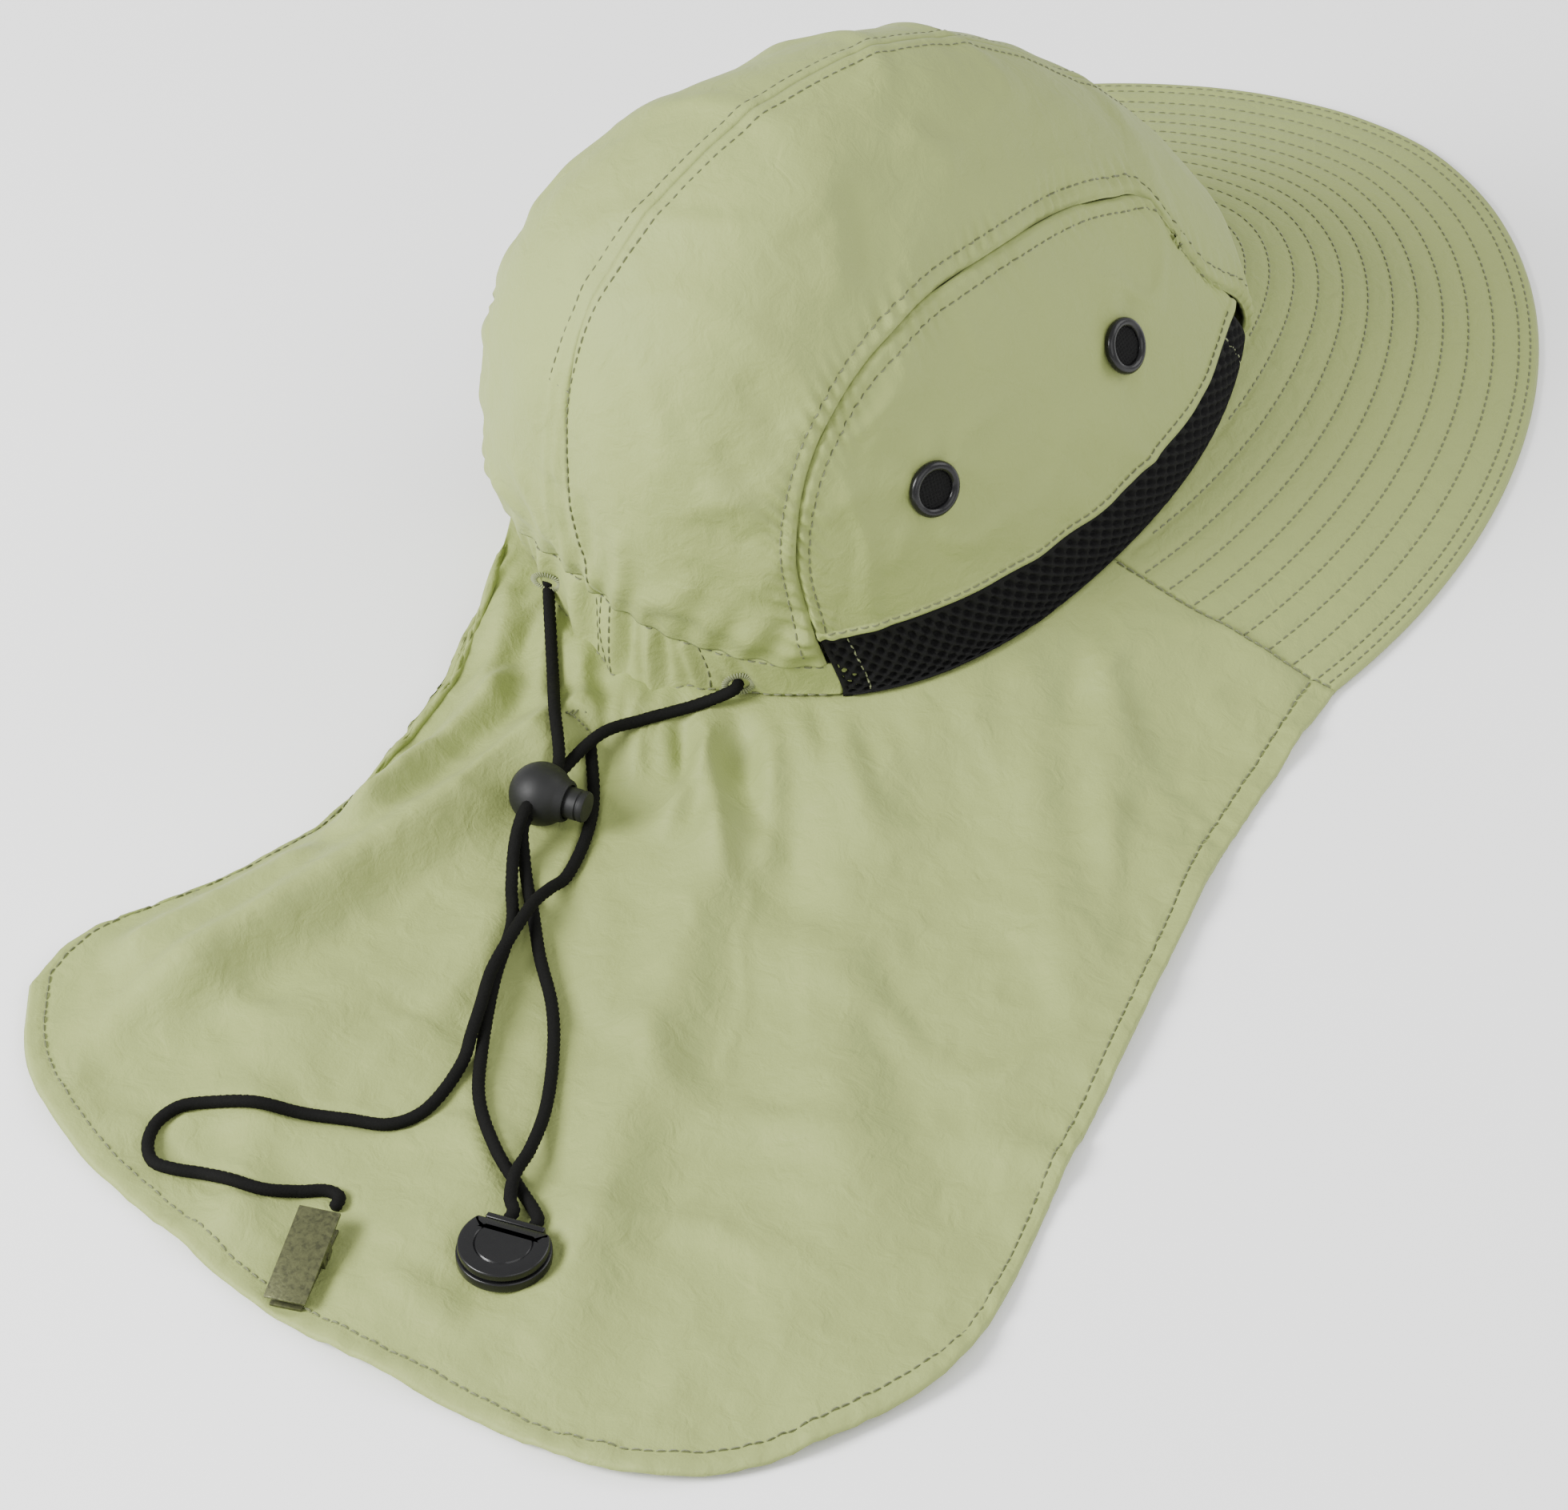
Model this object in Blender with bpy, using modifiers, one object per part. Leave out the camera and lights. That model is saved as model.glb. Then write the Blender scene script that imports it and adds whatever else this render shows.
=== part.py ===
"""Flap sun hat: a soft crown, a stiff front brim and a neck flap, lying on a flat surface.

Run with: blender --background --python part.py
Frame: +X is the hat's front, +Y the wearer's left, +Z up. The origin is the centre of the
head opening, on the surface that the hat lies on. All lengths are in metres.
"""
import math

import bmesh
import bpy
from mathutils import Matrix, Vector
from mathutils.geometry import interpolate_bezier

# Head opening and crown
RIM_LENGTH = 0.200
RIM_WIDTH = 0.154
RIM_HEIGHT = 0.0173
CROWN_TOP = 0.139
BAND_WIDTH = 0.021
BACK_BAND_WIDTH = 0.020
CLOTH = 0.0012
MESH_THICK = 0.0020
SEAM_GAP = 0.0006
SEAT_GAP = 0.0003
GATHER_DEPTH = 0.0012
GATHERS = 17
BAND_TOP_GAP = 0.008

# Brim
BRIM_FRONT = 0.093
BRIM_SIDE = 0.056
BRIM_THICK = 0.0024
BRIM_EDGE_LIFT = 0.0002
BRIM_SHIFT = 0.010
BRIM_POWER = 1.85

# Neck flap
FLAP_LENGTH = 0.193
FLAP_RIGHT = 0.155
FLAP_LEFT = 0.058
FLAP_FALL = 0.060
FLAP_BOW = 0.020
BOW_NEAR = 0.088
BOW_FAR = 0.270
FOLD_HEIGHT = 0.010
FLAP_GATHER = 0.0008
GATHER_START = 0.010
GATHER_REACH = 0.020
GATHER_FREE = 0.007

# Eyelets
EYELET_RADIUS = 0.0070
EYELET_HOLE = 0.0045
EYELET_THICK = 0.0016
EYELETS = (
    # name, degrees from the front, share of the way up
    ("rear", 99.5, 0.385),
    ("front", 58.5, 0.352),
)

# Cords and what is on them
CORD_RADIUS = 0.0015
CORD_CLEAR = 0.0007
LOCK_RADIUS = 0.0077
LOCK_SLOT_WIDTH = 0.0038
LOCK_SLOT_HEIGHT = 0.0074
BUTTON_RADIUS = 0.0038
BUTTON_STANDS_OUT = 0.0045
BUTTON_TRAVEL = 0.0025
SNAP_RADIUS = 0.0108
LID_RADIUS = 0.0103
SNAP_FLAT = 0.0076
SNAP_BASE_THICK = 0.0026
SNAP_LID_THICK = 0.0022
SNAP_BAR = 0.0016
JAW_LENGTH = 0.0250
JAW_WIDTH = 0.0098
JAW_THICK = 0.0008
JAW_EAR = 0.0040
JAW_PIN_RADIUS = 0.0009
JAW_TAIL = 0.0100
JAW_TILT = 9.0

# Where the pieces meet round the head opening, in degrees from the front
BRIM_END = 88.0
BAND_FRONT = 42.0
BAND_BACK = 133.6
BACK_CENTRE = 180.0
BAND_GAP_DEGREES = 0.6
GATHER_SPREAD = 28.0
BRIM_TURN = 8.5
BRIM_BLEND = 22.0
BOW_START = 145.0
BOW_BLEND = 35.0
UNDER_START = 212.0
UNDER_END = 256.0
UNDER_BLEND = 10.0
SWAY = 9.0
SWAY_SPREAD = 40.0

# Crown profile: the angle swept from the top to the rim, and how the section leans
PROFILE_SWEEP = 95.0
RISE_POWER = 1.40
RISE_SIDE = -0.22
LEAN = -0.20
BELLY = -0.20
FRONT_FULL = 0.21
EGG = 0.21
RIM_POWER = 2.2
TUCK = 0.09
TUCK_SPREAD = 30.0

# Height of the rim round the opening, as a share of RIM_HEIGHT
RIM_RISE = (
    # degrees, share
    (0.0, 1.60),
    (40.0, 1.62),
    (60.0, 1.40),
    (90.0, 1.20),
    (120.0, 0.98),
    (140.0, 0.82),
    (160.0, 0.78),
    (180.0, 0.86),
)

# The curved seam over each side panel, in the crown's disc: along is -1 at the back and
# 1 at the front, out is the share of the way from the centre seam to the side
ARC_SEAM = (
    # along, out
    (-1.00, 0.690),
    (-0.89, 0.670),
    (-0.74, 0.638),
    (-0.60, 0.595),
    (-0.46, 0.553),
    (-0.35, 0.515),
    (-0.20, 0.470),
    (-0.04, 0.430),
    (0.15, 0.391),
    (0.32, 0.356),
    (0.46, 0.337),
    (0.53, 0.336),
    (0.58, 0.412),
    (0.66, 0.487),
    (0.81, 0.535),
    (1.00, 0.643),
)
PANEL_STEPS = 24
FLOOR_END = 130.0
FLOOR_SPREAD = 80.0
PANEL_SPAN = (2, 20)
PANEL_MIDDLE = (92.0, 0.38)

# Hem of the flap: the rim angle that each point hangs from, its place behind the rim's
# centre as a share of the flap's reach, and its place to the side as a share of the
# flap's half width on that side
HEM = (
    # degrees, back, side
    (88.0, -0.073, -0.860),
    (98.0, 0.010, -0.920),
    (107.0, 0.085, -0.974),
    (115.0, 0.147, -1.026),
    (124.0, 0.345, -1.220),
    (131.0, 0.468, -1.335),
    (137.0, 0.590, -1.455),
    (142.0, 0.666, -1.497),
    (147.0, 0.758, -1.477),
    (152.0, 0.833, -1.432),
    (157.0, 0.890, -1.350),
    (161.0, 0.925, -1.245),
    (164.5, 0.948, -1.110),
    (168.0, 0.976, -0.923),
    (171.0, 0.996, -0.748),
    (174.0, 1.000, -0.555),
    (177.0, 1.000, -0.329),
    (180.0, 0.980, -0.161),
    (183.0, 0.940, -0.045),
    (186.0, 0.8635, 0.086),
    (190.0, 0.779, 0.007),
    (194.5, 0.683, -0.022),
    (199.0, 0.580, 0.020),
    (204.0, 0.478, 0.150),
    (210.0, 0.386, 0.400),
    (217.0, 0.324, 0.595),
    (224.0, 0.273, 0.690),
    (232.0, 0.212, 0.890),
    (240.0, 0.171, 1.200),
    (246.0, 0.157, 1.466),
    (252.0, 0.130, 1.724),
    (260.0, 0.050, 2.020),
    (272.0, -0.073, 2.298),
)

# Folds of the flap: from and to as shares of the flap's reach behind the centre and of its
# right half width, how wide each is as a share of the reach and how high of FOLD_HEIGHT
FOLDS = (
    # from back, from side, to back, to side, width, height
    (0.40, -0.145, 0.87, -0.165, 0.026, 1.15),
    (0.42, 0.005, 0.63, -0.078, 0.018, 0.95),
    (0.66, -0.086, 0.85, -0.060, 0.018, 0.50),
    (0.32, -0.300, 0.44, -0.400, 0.012, 0.45),
    (0.31, -0.360, 0.40, -0.560, 0.014, 0.40),
    (0.38, -0.430, 0.86, -1.080, 0.034, 0.55),
    (0.30, -0.520, 0.60, -1.150, 0.040, 0.35),
    (0.05, -0.620, 0.20, -0.900, 0.022, 0.35),
    (0.16, -0.640, 0.30, -1.050, 0.026, 0.30),
    (0.70, -0.640, 0.93, -0.900, 0.045, 0.30),
    (0.86, -0.420, 0.97, -0.620, 0.022, 0.30),
    (0.60, -0.350, 0.90, -0.360, 0.040, 0.25),
)

# Routes of the cords on the flap: points chosen by hand, metres behind and beside the
# centre of the head opening, with the height of the cord's underside above the flap
UPPER_LEFT_ROUTE = (
    # x, y, clear
    (-0.1010, 0.0125, 0.0030),
    (-0.1060, 0.0062, 0.0032),
    (-0.1160, -0.0066, 0.0014),
    (-0.1265, -0.0200, 0.0008),
)
UPPER_RIGHT_ROUTE = (
    # x, y, clear
    (-0.0925, -0.0455, 0.0025),
    (-0.1000, -0.0400, 0.0008),
    (-0.1112, -0.0345, 0.0022),
    (-0.1230, -0.0325, 0.0046),
)
LOWER_LEFT_ROUTE = (
    # x, y, clear
    (-0.1605, -0.0455, 0.0055),
    (-0.1680, -0.0532, 0.0020),
    (-0.1755, -0.0622, 0.0006),
    (-0.1899, -0.0732, 0.0006),
    (-0.2071, -0.0894, 0.0006),
    (-0.2184, -0.1025, 0.0006),
    (-0.2252, -0.1165, 0.0006),
    (-0.2280, -0.1275, 0.0006),
)
LOWER_RIGHT_ROUTE = (
    # x, y, clear
    (-0.1590, -0.0470, 0.0022),
    (-0.1640, -0.0542, 0.0006),
    (-0.1690, -0.0622, 0.0006),
    (-0.1770, -0.0742, 0.0006),
    (-0.1850, -0.0880, 0.0006),
    (-0.1948, -0.1002, 0.0006),
    (-0.2083, -0.1138, 0.0010),
    (-0.2200, -0.1225, 0.0030),
    (-0.2280, -0.1270, 0.0044),
    (-0.2330, -0.1310, 0.0034),
)
CLIP_ROUTE = (
    # x, y, clear
    (-0.1245, -0.0305, 0.0006),
    (-0.1338, -0.0425, 0.0005),
    (-0.1438, -0.0512, 0.0006),
    (-0.1553, -0.0582, 0.0012),
    (-0.1620, -0.0602, 0.0030),
    (-0.1697, -0.0628, 0.0044),
    (-0.1813, -0.0683, 0.0044),
    (-0.1906, -0.0732, 0.0044),
    (-0.1993, -0.0798, 0.0040),
    (-0.2060, -0.0846, 0.0030),
    (-0.2120, -0.0888, 0.0010),
    (-0.2222, -0.0935, 0.0006),
    (-0.2302, -0.0948, 0.0006),
    (-0.2370, -0.0920, 0.0006),
    (-0.2423, -0.0849, 0.0006),
    (-0.2490, -0.0765, 0.0006),
    (-0.2565, -0.0690, 0.0006),
    (-0.2627, -0.0605, 0.0006),
    (-0.2684, -0.0562, 0.0006),
    (-0.2750, -0.0562, 0.0006),
    (-0.2805, -0.0600, 0.0006),
    (-0.2830, -0.0652, 0.0006),
    (-0.2812, -0.0705, 0.0010),
    (-0.2776, -0.0760, 0.0010),
    (-0.2751, -0.0831, 0.0008),
    (-0.2708, -0.0901, 0.0006),
    (-0.2645, -0.0948, 0.0006),
    (-0.2600, -0.0985, 0.0006),
    (-0.2592, -0.1025, 0.0010),
    (-0.2625, -0.1048, 0.0014),
)
CORD_STEP = 2.6

LOCK_PLACE = (-0.1463, -0.0385)
LOCK_TURN = 204.0
SNAP_PLACE = (-0.2443, -0.1424)
SNAP_TURN = 27.0
JAW_PLACE = (-0.2775, -0.1128)
JAW_TURN = 212.0

COLOURS = {
    # name: colour, roughness, metallic
    "sage_cloth": ((0.46, 0.50, 0.27, 1.0), 0.75, 0.0),
    "black_mesh": ((0.012, 0.012, 0.013, 1.0), 0.85, 0.0),
    "black_plastic": ((0.015, 0.016, 0.018, 1.0), 0.35, 0.0),
    "black_cord": ((0.010, 0.010, 0.011, 1.0), 0.90, 0.0),
    "old_brass": ((0.30, 0.25, 0.12, 1.0), 0.40, 0.9),
}


def read_table(rows, at, column=1):
    """Smooth value of a table's column, with the first column rising."""
    if at <= rows[0][0]:
        return rows[0][column]
    if at >= rows[-1][0]:
        return rows[-1][column]
    k = next(i for i in range(len(rows) - 1) if at <= rows[i + 1][0])
    before, low, high, after = (rows[max(k - 1, 0)], rows[k], rows[k + 1],
                                rows[min(k + 2, len(rows) - 1)])
    span = high[0] - low[0]
    share = (at - low[0]) / span
    slope_low = (high[column] - before[column]) / (high[0] - before[0]) * span
    slope_high = (after[column] - low[column]) / (after[0] - low[0]) * span
    a, b = share * share * (3 - 2 * share), share * (1 - share)
    return (low[column] * (1 - a) + high[column] * a
            + b * (slope_low * (1 - share) - slope_high * share))


def ease(x):
    x = min(max(x, 0.0), 1.0)
    return x * x * (3 - 2 * x)


def from_back(degrees):
    """Degrees away from the centre back."""
    return abs((degrees + 360.0) % 360.0 - 180.0)


def rim_height(degrees):
    return RIM_HEIGHT * read_table(RIM_RISE, 180.0 - from_back(degrees))


def rim_point(degrees):
    """Outline of the head opening: an egg, narrower at the front, tucked in at the back."""
    a = math.radians(degrees)
    c, s = math.cos(a), math.sin(a)
    k = (abs(c) ** RIM_POWER + abs(s) ** RIM_POWER) ** (-1 / RIM_POWER)
    return RIM_LENGTH / 2 * c * k, RIM_WIDTH / 2 * s * k * (1 - EGG * c)


def tuck_at(degrees):
    return TUCK * math.exp(-(from_back(degrees) / TUCK_SPREAD) ** 2)


def swayed(degrees, up):
    """The back of the crown is turned a little, most at the rim."""
    return degrees + SWAY * math.exp(-(from_back(degrees) / SWAY_SPREAD) ** 2) * (1 - up) ** 2


def crown_point(degrees, up):
    """A point on the crown's outer face: up is 0 at the rim and 1 at the top."""
    turned = swayed(degrees, up)
    a = math.radians(turned)
    sweep = math.radians(PROFILE_SWEEP)
    angle = sweep * (1 - up)
    rise = max((math.cos(angle) - math.cos(sweep)) / (1 - math.cos(sweep)), 0.0)
    low = rim_height(turned)
    height = (CROWN_TOP - low) * rise ** (RISE_POWER * (1 + RISE_SIDE * math.cos(2 * a)))
    x, y = rim_point(turned)
    tuck = 1 - tuck_at(turned) * max(1 - 3 * rise, 0.0) ** 2
    wide = math.sin(angle) / math.sin(sweep) * tuck
    wide *= 1 + FRONT_FULL * math.cos(a) * math.sin(math.pi * rise)
    lean = LEAN * height + BELLY * 4 * height * (1 - height / (CROWN_TOP - low))
    return Vector((x * wide + lean, y * wide, low + height))


def up_at(degrees, width):
    """How far up the crown a strip of this width reaches, measured on the cloth."""
    steps, length, last = 60, 0.0, crown_point(degrees, 0.0)
    for i in range(1, steps + 1):
        here = crown_point(degrees, 0.5 * i / steps)
        piece = (here - last).length
        if length + piece >= width:
            return 0.5 * (i - 1 + (width - length) / piece) / steps
        length, last = length + piece, here
    return 0.5


BACK_TOP = up_at(BACK_CENTRE, BACK_BAND_WIDTH)


def panel_floor(degrees):
    """Lower limit of the top panels: the rim in front, the back band's top behind."""
    return BACK_TOP * ease((FLOOR_END - from_back(degrees)) / FLOOR_SPREAD)


def from_disc(along, out):
    """Angle and height share of a point of the crown's disc, for the left side."""
    p, q = along * math.sqrt(max(1 - out * out, 0.0)), out
    degrees = math.degrees(math.atan2(q, p))
    radius = min(math.hypot(p, q), 1.0)
    low = panel_floor(degrees)
    return degrees, low + (1 - low) * (1 - radius)


def arc_point(along):
    return from_disc(along, read_table(ARC_SEAM, along))


def material(name):
    found = bpy.data.materials.get(name)
    if found:
        return found
    colour, rough, metal = COLOURS[name]
    made = bpy.data.materials.new(name)
    made.use_nodes = True
    shader = made.node_tree.nodes["Principled BSDF"]
    shader.inputs["Base Color"].default_value = colour
    shader.inputs["Roughness"].default_value = rough
    shader.inputs["Metallic"].default_value = metal
    return made


def add_object(name, data, finish, collection):
    made = bpy.data.objects.new(name, data)
    made.data.materials.append(material(finish))
    collection.objects.link(made)
    return made


def sheet(name, place, columns, rows, thick, finish, collection, outward=True):
    """A cloth wall: a grid laid on place(u, v), then given its thickness inwards."""
    bm = bmesh.new()
    bmesh.ops.create_grid(bm, x_segments=columns, y_segments=rows, size=0.5)
    for vert in bm.verts:
        vert.co = place(vert.co.x + 0.5, vert.co.y + 0.5)
    bmesh.ops.remove_doubles(bm, verts=bm.verts, dist=0.00002)
    bmesh.ops.recalc_face_normals(bm, faces=bm.faces)
    middle = sum((v.co for v in bm.verts), Vector()) / len(bm.verts)
    core = Vector((-0.03, 0.0, 0.03)) if outward else middle - Vector((0.0, 0.0, 1.0))
    facing = sum(f.normal.dot(f.calc_center_median() - core) for f in bm.faces)
    if facing < 0:
        bmesh.ops.reverse_faces(bm, faces=bm.faces)
    mesh = bpy.data.meshes.new(name)
    bm.to_mesh(mesh)
    bm.free()
    made = add_object(name, mesh, finish, collection)
    wall = made.modifiers.new("wall", "SOLIDIFY")
    wall.thickness = thick
    wall.offset = -1.0
    made.data.shade_smooth()
    return made


def on_side(side, degrees, up, shrink=0.0):
    """Crown point for a side: 1 is the wearer's left, -1 the right."""
    point = crown_point(side * degrees, up)
    if shrink:
        point += (Vector((LEAN * point.z, 0.0, point.z)) - point).normalized() * shrink
    return point


def crown_panel(side, collection):
    """Half of the top of the crown, from the centre seam down to the arc seam."""
    gap = SEAM_GAP / RIM_WIDTH

    def place(u, v):
        along = -1 + 2 * u
        limit = read_table(ARC_SEAM, along) - gap
        return on_side(side, *from_disc(along, gap + (limit - gap) * v))

    name = "crown_panel_left" if side > 0 else "crown_panel_right"
    return sheet(name, place, PANEL_STEPS, 8, CLOTH, "sage_cloth", collection)


def drawn_in(degrees, up, by):
    """A place on the side panel's edge, moved towards its middle by a length."""
    across = (PANEL_MIDDLE[0] - degrees) * math.radians(RIM_LENGTH * 0.4)
    along = (PANEL_MIDDLE[1] - up) * CROWN_TOP
    share = by / math.hypot(across, along)
    return (degrees + (PANEL_MIDDLE[0] - degrees) * share,
            up + (PANEL_MIDDLE[1] - up) * share)


def side_panel(side, collection):
    """The D-shaped panel over the ear, between the arc seam and the mesh band."""
    start, end = (-1 + 2 * step / PANEL_STEPS for step in PANEL_SPAN)
    end_angle = arc_point(end)[0]

    def place(u, v):
        top = drawn_in(*arc_point(start + (end - start) * u), SEAM_GAP)
        low_angle = BAND_BACK + (end_angle - BAND_BACK) * u
        low = drawn_in(low_angle, up_at(low_angle, BAND_WIDTH), SEAM_GAP)
        return on_side(side, low[0] + (top[0] - low[0]) * v, low[1] + (top[1] - low[1]) * v)

    name = "side_panel_left" if side > 0 else "side_panel_right"
    return sheet(name, place, PANEL_SPAN[1] - PANEL_SPAN[0], 7, CLOTH, "sage_cloth", collection)


def mesh_band(side, collection):
    """The strip of open spacer mesh along the rim, under the side panel."""
    def place(u, v):
        degrees = BAND_FRONT + (BAND_BACK - BAND_FRONT) * u
        return on_side(side, degrees, up_at(degrees, (BAND_WIDTH - SEAM_GAP) * v))

    name = "mesh_band_left" if side > 0 else "mesh_band_right"
    return sheet(name, place, 22, 2, MESH_THICK, "black_mesh", collection)


def back_band(collection):
    """The gathered casing with the elastic, round the back of the rim."""
    def place(u, v):
        start = BAND_BACK + BAND_GAP_DEGREES
        degrees = start + (360.0 - 2 * start) * u
        share = 1 - ease(from_back(degrees) / GATHER_SPREAD)
        ripple = GATHER_DEPTH * share * math.sin(2 * math.pi * GATHERS * u)
        point = crown_point(degrees, (BACK_TOP - BAND_TOP_GAP) * v)
        return point + Vector((point.x, point.y, 0.0)).normalized() * ripple

    return sheet("back_band", place, 68, 2, CLOTH, "sage_cloth", collection)


def brim_limit(degrees):
    """Distance from the centre to the brim's outer edge."""
    a = math.radians(degrees)
    long = RIM_LENGTH / 2 + BRIM_FRONT - BRIM_SHIFT
    wide = RIM_WIDTH / 2 + BRIM_SIDE
    low, high = 0.0, 2 * long
    for _ in range(40):
        mid = (low + high) / 2
        x = abs(mid * math.cos(a) - BRIM_SHIFT) / long
        y = abs(mid * math.sin(a)) / wide
        low, high = (mid, high) if x ** BRIM_POWER + y ** BRIM_POWER < 1 else (low, mid)
    return low


def polar_angle(degrees):
    """Direction from the centre of the rim's point for an angle of the crown."""
    x, y = rim_point(degrees)
    return math.degrees(math.atan2(y, x))


def rim_angle(direction):
    """The crown's angle for a direction from the centre."""
    side = -1 if direction < 0 else 1
    low, high = 0.0, 180.0
    for _ in range(30):
        mid = (low + high) / 2
        low, high = (mid, high) if polar_angle(mid) < side * direction else (low, mid)
    return side * low


def rim_reach(degrees):
    """Distance from the centre to the rim, for an angle of the crown."""
    return math.hypot(*rim_point(degrees)) * (1 - tuck_at(degrees))


def fold_height(x, y):
    """Height of the flap's folds over its plain fall."""
    reach = RIM_LENGTH / 2 + FLAP_LENGTH
    total = 0.0
    for back0, side0, back1, side1, width, height in FOLDS:
        x0, y0 = -back0 * reach, side0 * FLAP_RIGHT
        x1, y1 = -back1 * reach, side1 * FLAP_RIGHT
        dx, dy = x1 - x0, y1 - y0
        along = ((x - x0) * dx + (y - y0) * dy) / (dx * dx + dy * dy)
        across = abs((x - x0) * dy - (y - y0) * dx) / math.hypot(dx, dy)
        fade = ease((along + 0.15) / 0.3) * ease((1.15 - along) / 0.3)
        total += height * fade * math.exp(-(across / (width * reach)) ** 2)
    return FOLD_HEIGHT * total


def skirt_height(x, y, thick):
    """Top face of the brim and the flap: high at the rim, falling to the floor."""
    direction = math.degrees(math.atan2(y, x))
    degrees = rim_angle(direction)
    distance = math.hypot(x, y) - rim_reach(degrees)
    around = 180.0 - from_back(degrees)
    front = ease((BRIM_END + BRIM_BLEND - around) / BRIM_BLEND)
    fall = front * (brim_limit(direction) - rim_reach(degrees)) + (1 - front) * FLAP_FALL
    share = min(max(distance / fall, 0.0), 1.0)
    power = 1.9 - 0.65 * front
    top = rim_height(degrees) - 3 * SEAT_GAP
    height = thick + BRIM_EDGE_LIFT + (top - thick) * (1 - share) ** power
    if around > BRIM_END - 1:
        settle = ease(distance / (0.5 * FLAP_FALL)) * (1 - front)
        height += fold_height(x, y) * settle
        gather = 0.8 * GATHER_DEPTH * math.sin(math.radians(degrees) * 5 * GATHERS / 2)
        near = ease(distance / GATHER_START) * math.exp(-distance / GATHER_REACH)
        height += (1 + gather / GATHER_DEPTH) * FLAP_GATHER * (1 - front) * near
    return min(height, top) if distance < GATHER_FREE else height


def brim_seam(share, side):
    """A point on the seam between the brim and the flap."""
    x0, y0 = rim_point(side * BRIM_END)
    outer = brim_limit(BRIM_END - BRIM_TURN)
    a = math.radians(side * (BRIM_END - BRIM_TURN))
    x1, y1 = outer * math.cos(a), outer * math.sin(a)
    return x0 + (x1 - x0) * share, y0 + (y1 - y0) * share


def inner_point(degrees):
    """Inner edge of the brim and the flap, tucked just under the crown's wall."""
    reach = rim_reach(degrees) - 1.6 * MESH_THICK
    a = math.radians(polar_angle(degrees))
    return reach * math.cos(a), reach * math.sin(a)


def brim(collection):
    """The stiff front brim, from the rim out to its round edge."""
    outer_end = BRIM_END - BRIM_TURN

    def place(u, v):
        s = 2 * u - 1
        x0, y0 = inner_point(BRIM_END * s)
        limit = brim_limit(outer_end * s)
        a = math.radians(outer_end * s)
        x = x0 + (limit * math.cos(a) - x0) * v
        y = y0 + (limit * math.sin(a) - y0) * v
        x += SEAM_GAP * (1 - ease((1 - abs(s)) * 10))
        return Vector((x, y, skirt_height(x, y, BRIM_THICK)))

    return sheet("brim", place, 40, 7, BRIM_THICK, "sage_cloth", collection, outward=False)


def hem_point(degrees):
    """Outer edge of the flap for an angle counted on past the centre back."""
    reach = RIM_LENGTH / 2 + FLAP_LENGTH
    back, side = read_table(HEM, degrees, 1), read_table(HEM, degrees, 2)
    return -back * reach, side * (FLAP_RIGHT if side < 0 else FLAP_LEFT)


def bowed(x, degrees):
    """How far the flap's rows swing to the right round the hollow in its left edge."""
    share = min(max((-x - BOW_NEAR) / (BOW_FAR - BOW_NEAR), 0.0), 1.0)
    return FLAP_BOW * math.sin(math.pi * share) ** 2 * ease((degrees - BOW_START) / BOW_BLEND)


def neck_flap(collection):
    """The neck flap: from the brim's right end round the back to its left end."""
    first, last = HEM[0][0], HEM[-1][0]

    def place(u, v):
        degrees = first + (last - first) * u
        x1, y1 = hem_point(degrees)
        x0, y0 = inner_point(-degrees if degrees <= 180.0 else 360.0 - degrees)
        if u < 0.02:
            x1, y1 = brim_seam(1.0, -1)
        if u > 0.98:
            x1, y1 = brim_seam(1.0, 1)
        x = x0 + (x1 - x0) * v
        y0, y1 = y0 + bowed(x0, degrees), y1 + bowed(x1, degrees)
        y = y0 + (y1 - y0) * v - bowed(x, degrees)
        under = ease((degrees - UNDER_START) / UNDER_BLEND)
        under *= ease((UNDER_END - degrees) / UNDER_BLEND)
        drop = rim_height(degrees) - 3 * SEAT_GAP
        drop += (CLOTH + BRIM_EDGE_LIFT - drop) * ease(v)
        height = skirt_height(x, y, CLOTH)
        return Vector((x, y, height + (drop - height) * under))

    return sheet("neck_flap", place, 60, 14, CLOTH, "sage_cloth", collection, outward=False)


def turned(name, profile, sides, finish, collection):
    """A turned solid from a closed profile of (radius, height), about Z."""
    bm = bmesh.new()
    verts = [bm.verts.new((r, 0.0, z)) for r, z in profile]
    edges = [bm.edges.new(pair) for pair in zip(verts, verts[1:])]
    bmesh.ops.spin(bm, geom=verts + edges, cent=(0, 0, 0), axis=(0, 0, 1), dvec=(0, 0, 0),
                   angle=2 * math.pi, steps=sides, use_merge=True, use_duplicate=False)
    bmesh.ops.remove_doubles(bm, verts=bm.verts, dist=0.00001)
    bmesh.ops.recalc_face_normals(bm, faces=bm.faces)
    mesh = bpy.data.meshes.new(name)
    bm.to_mesh(mesh)
    bm.free()
    made = add_object(name, mesh, finish, collection)
    made.data.shade_smooth()
    made.data.set_sharp_from_angle(angle=math.radians(40))
    return made


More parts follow.
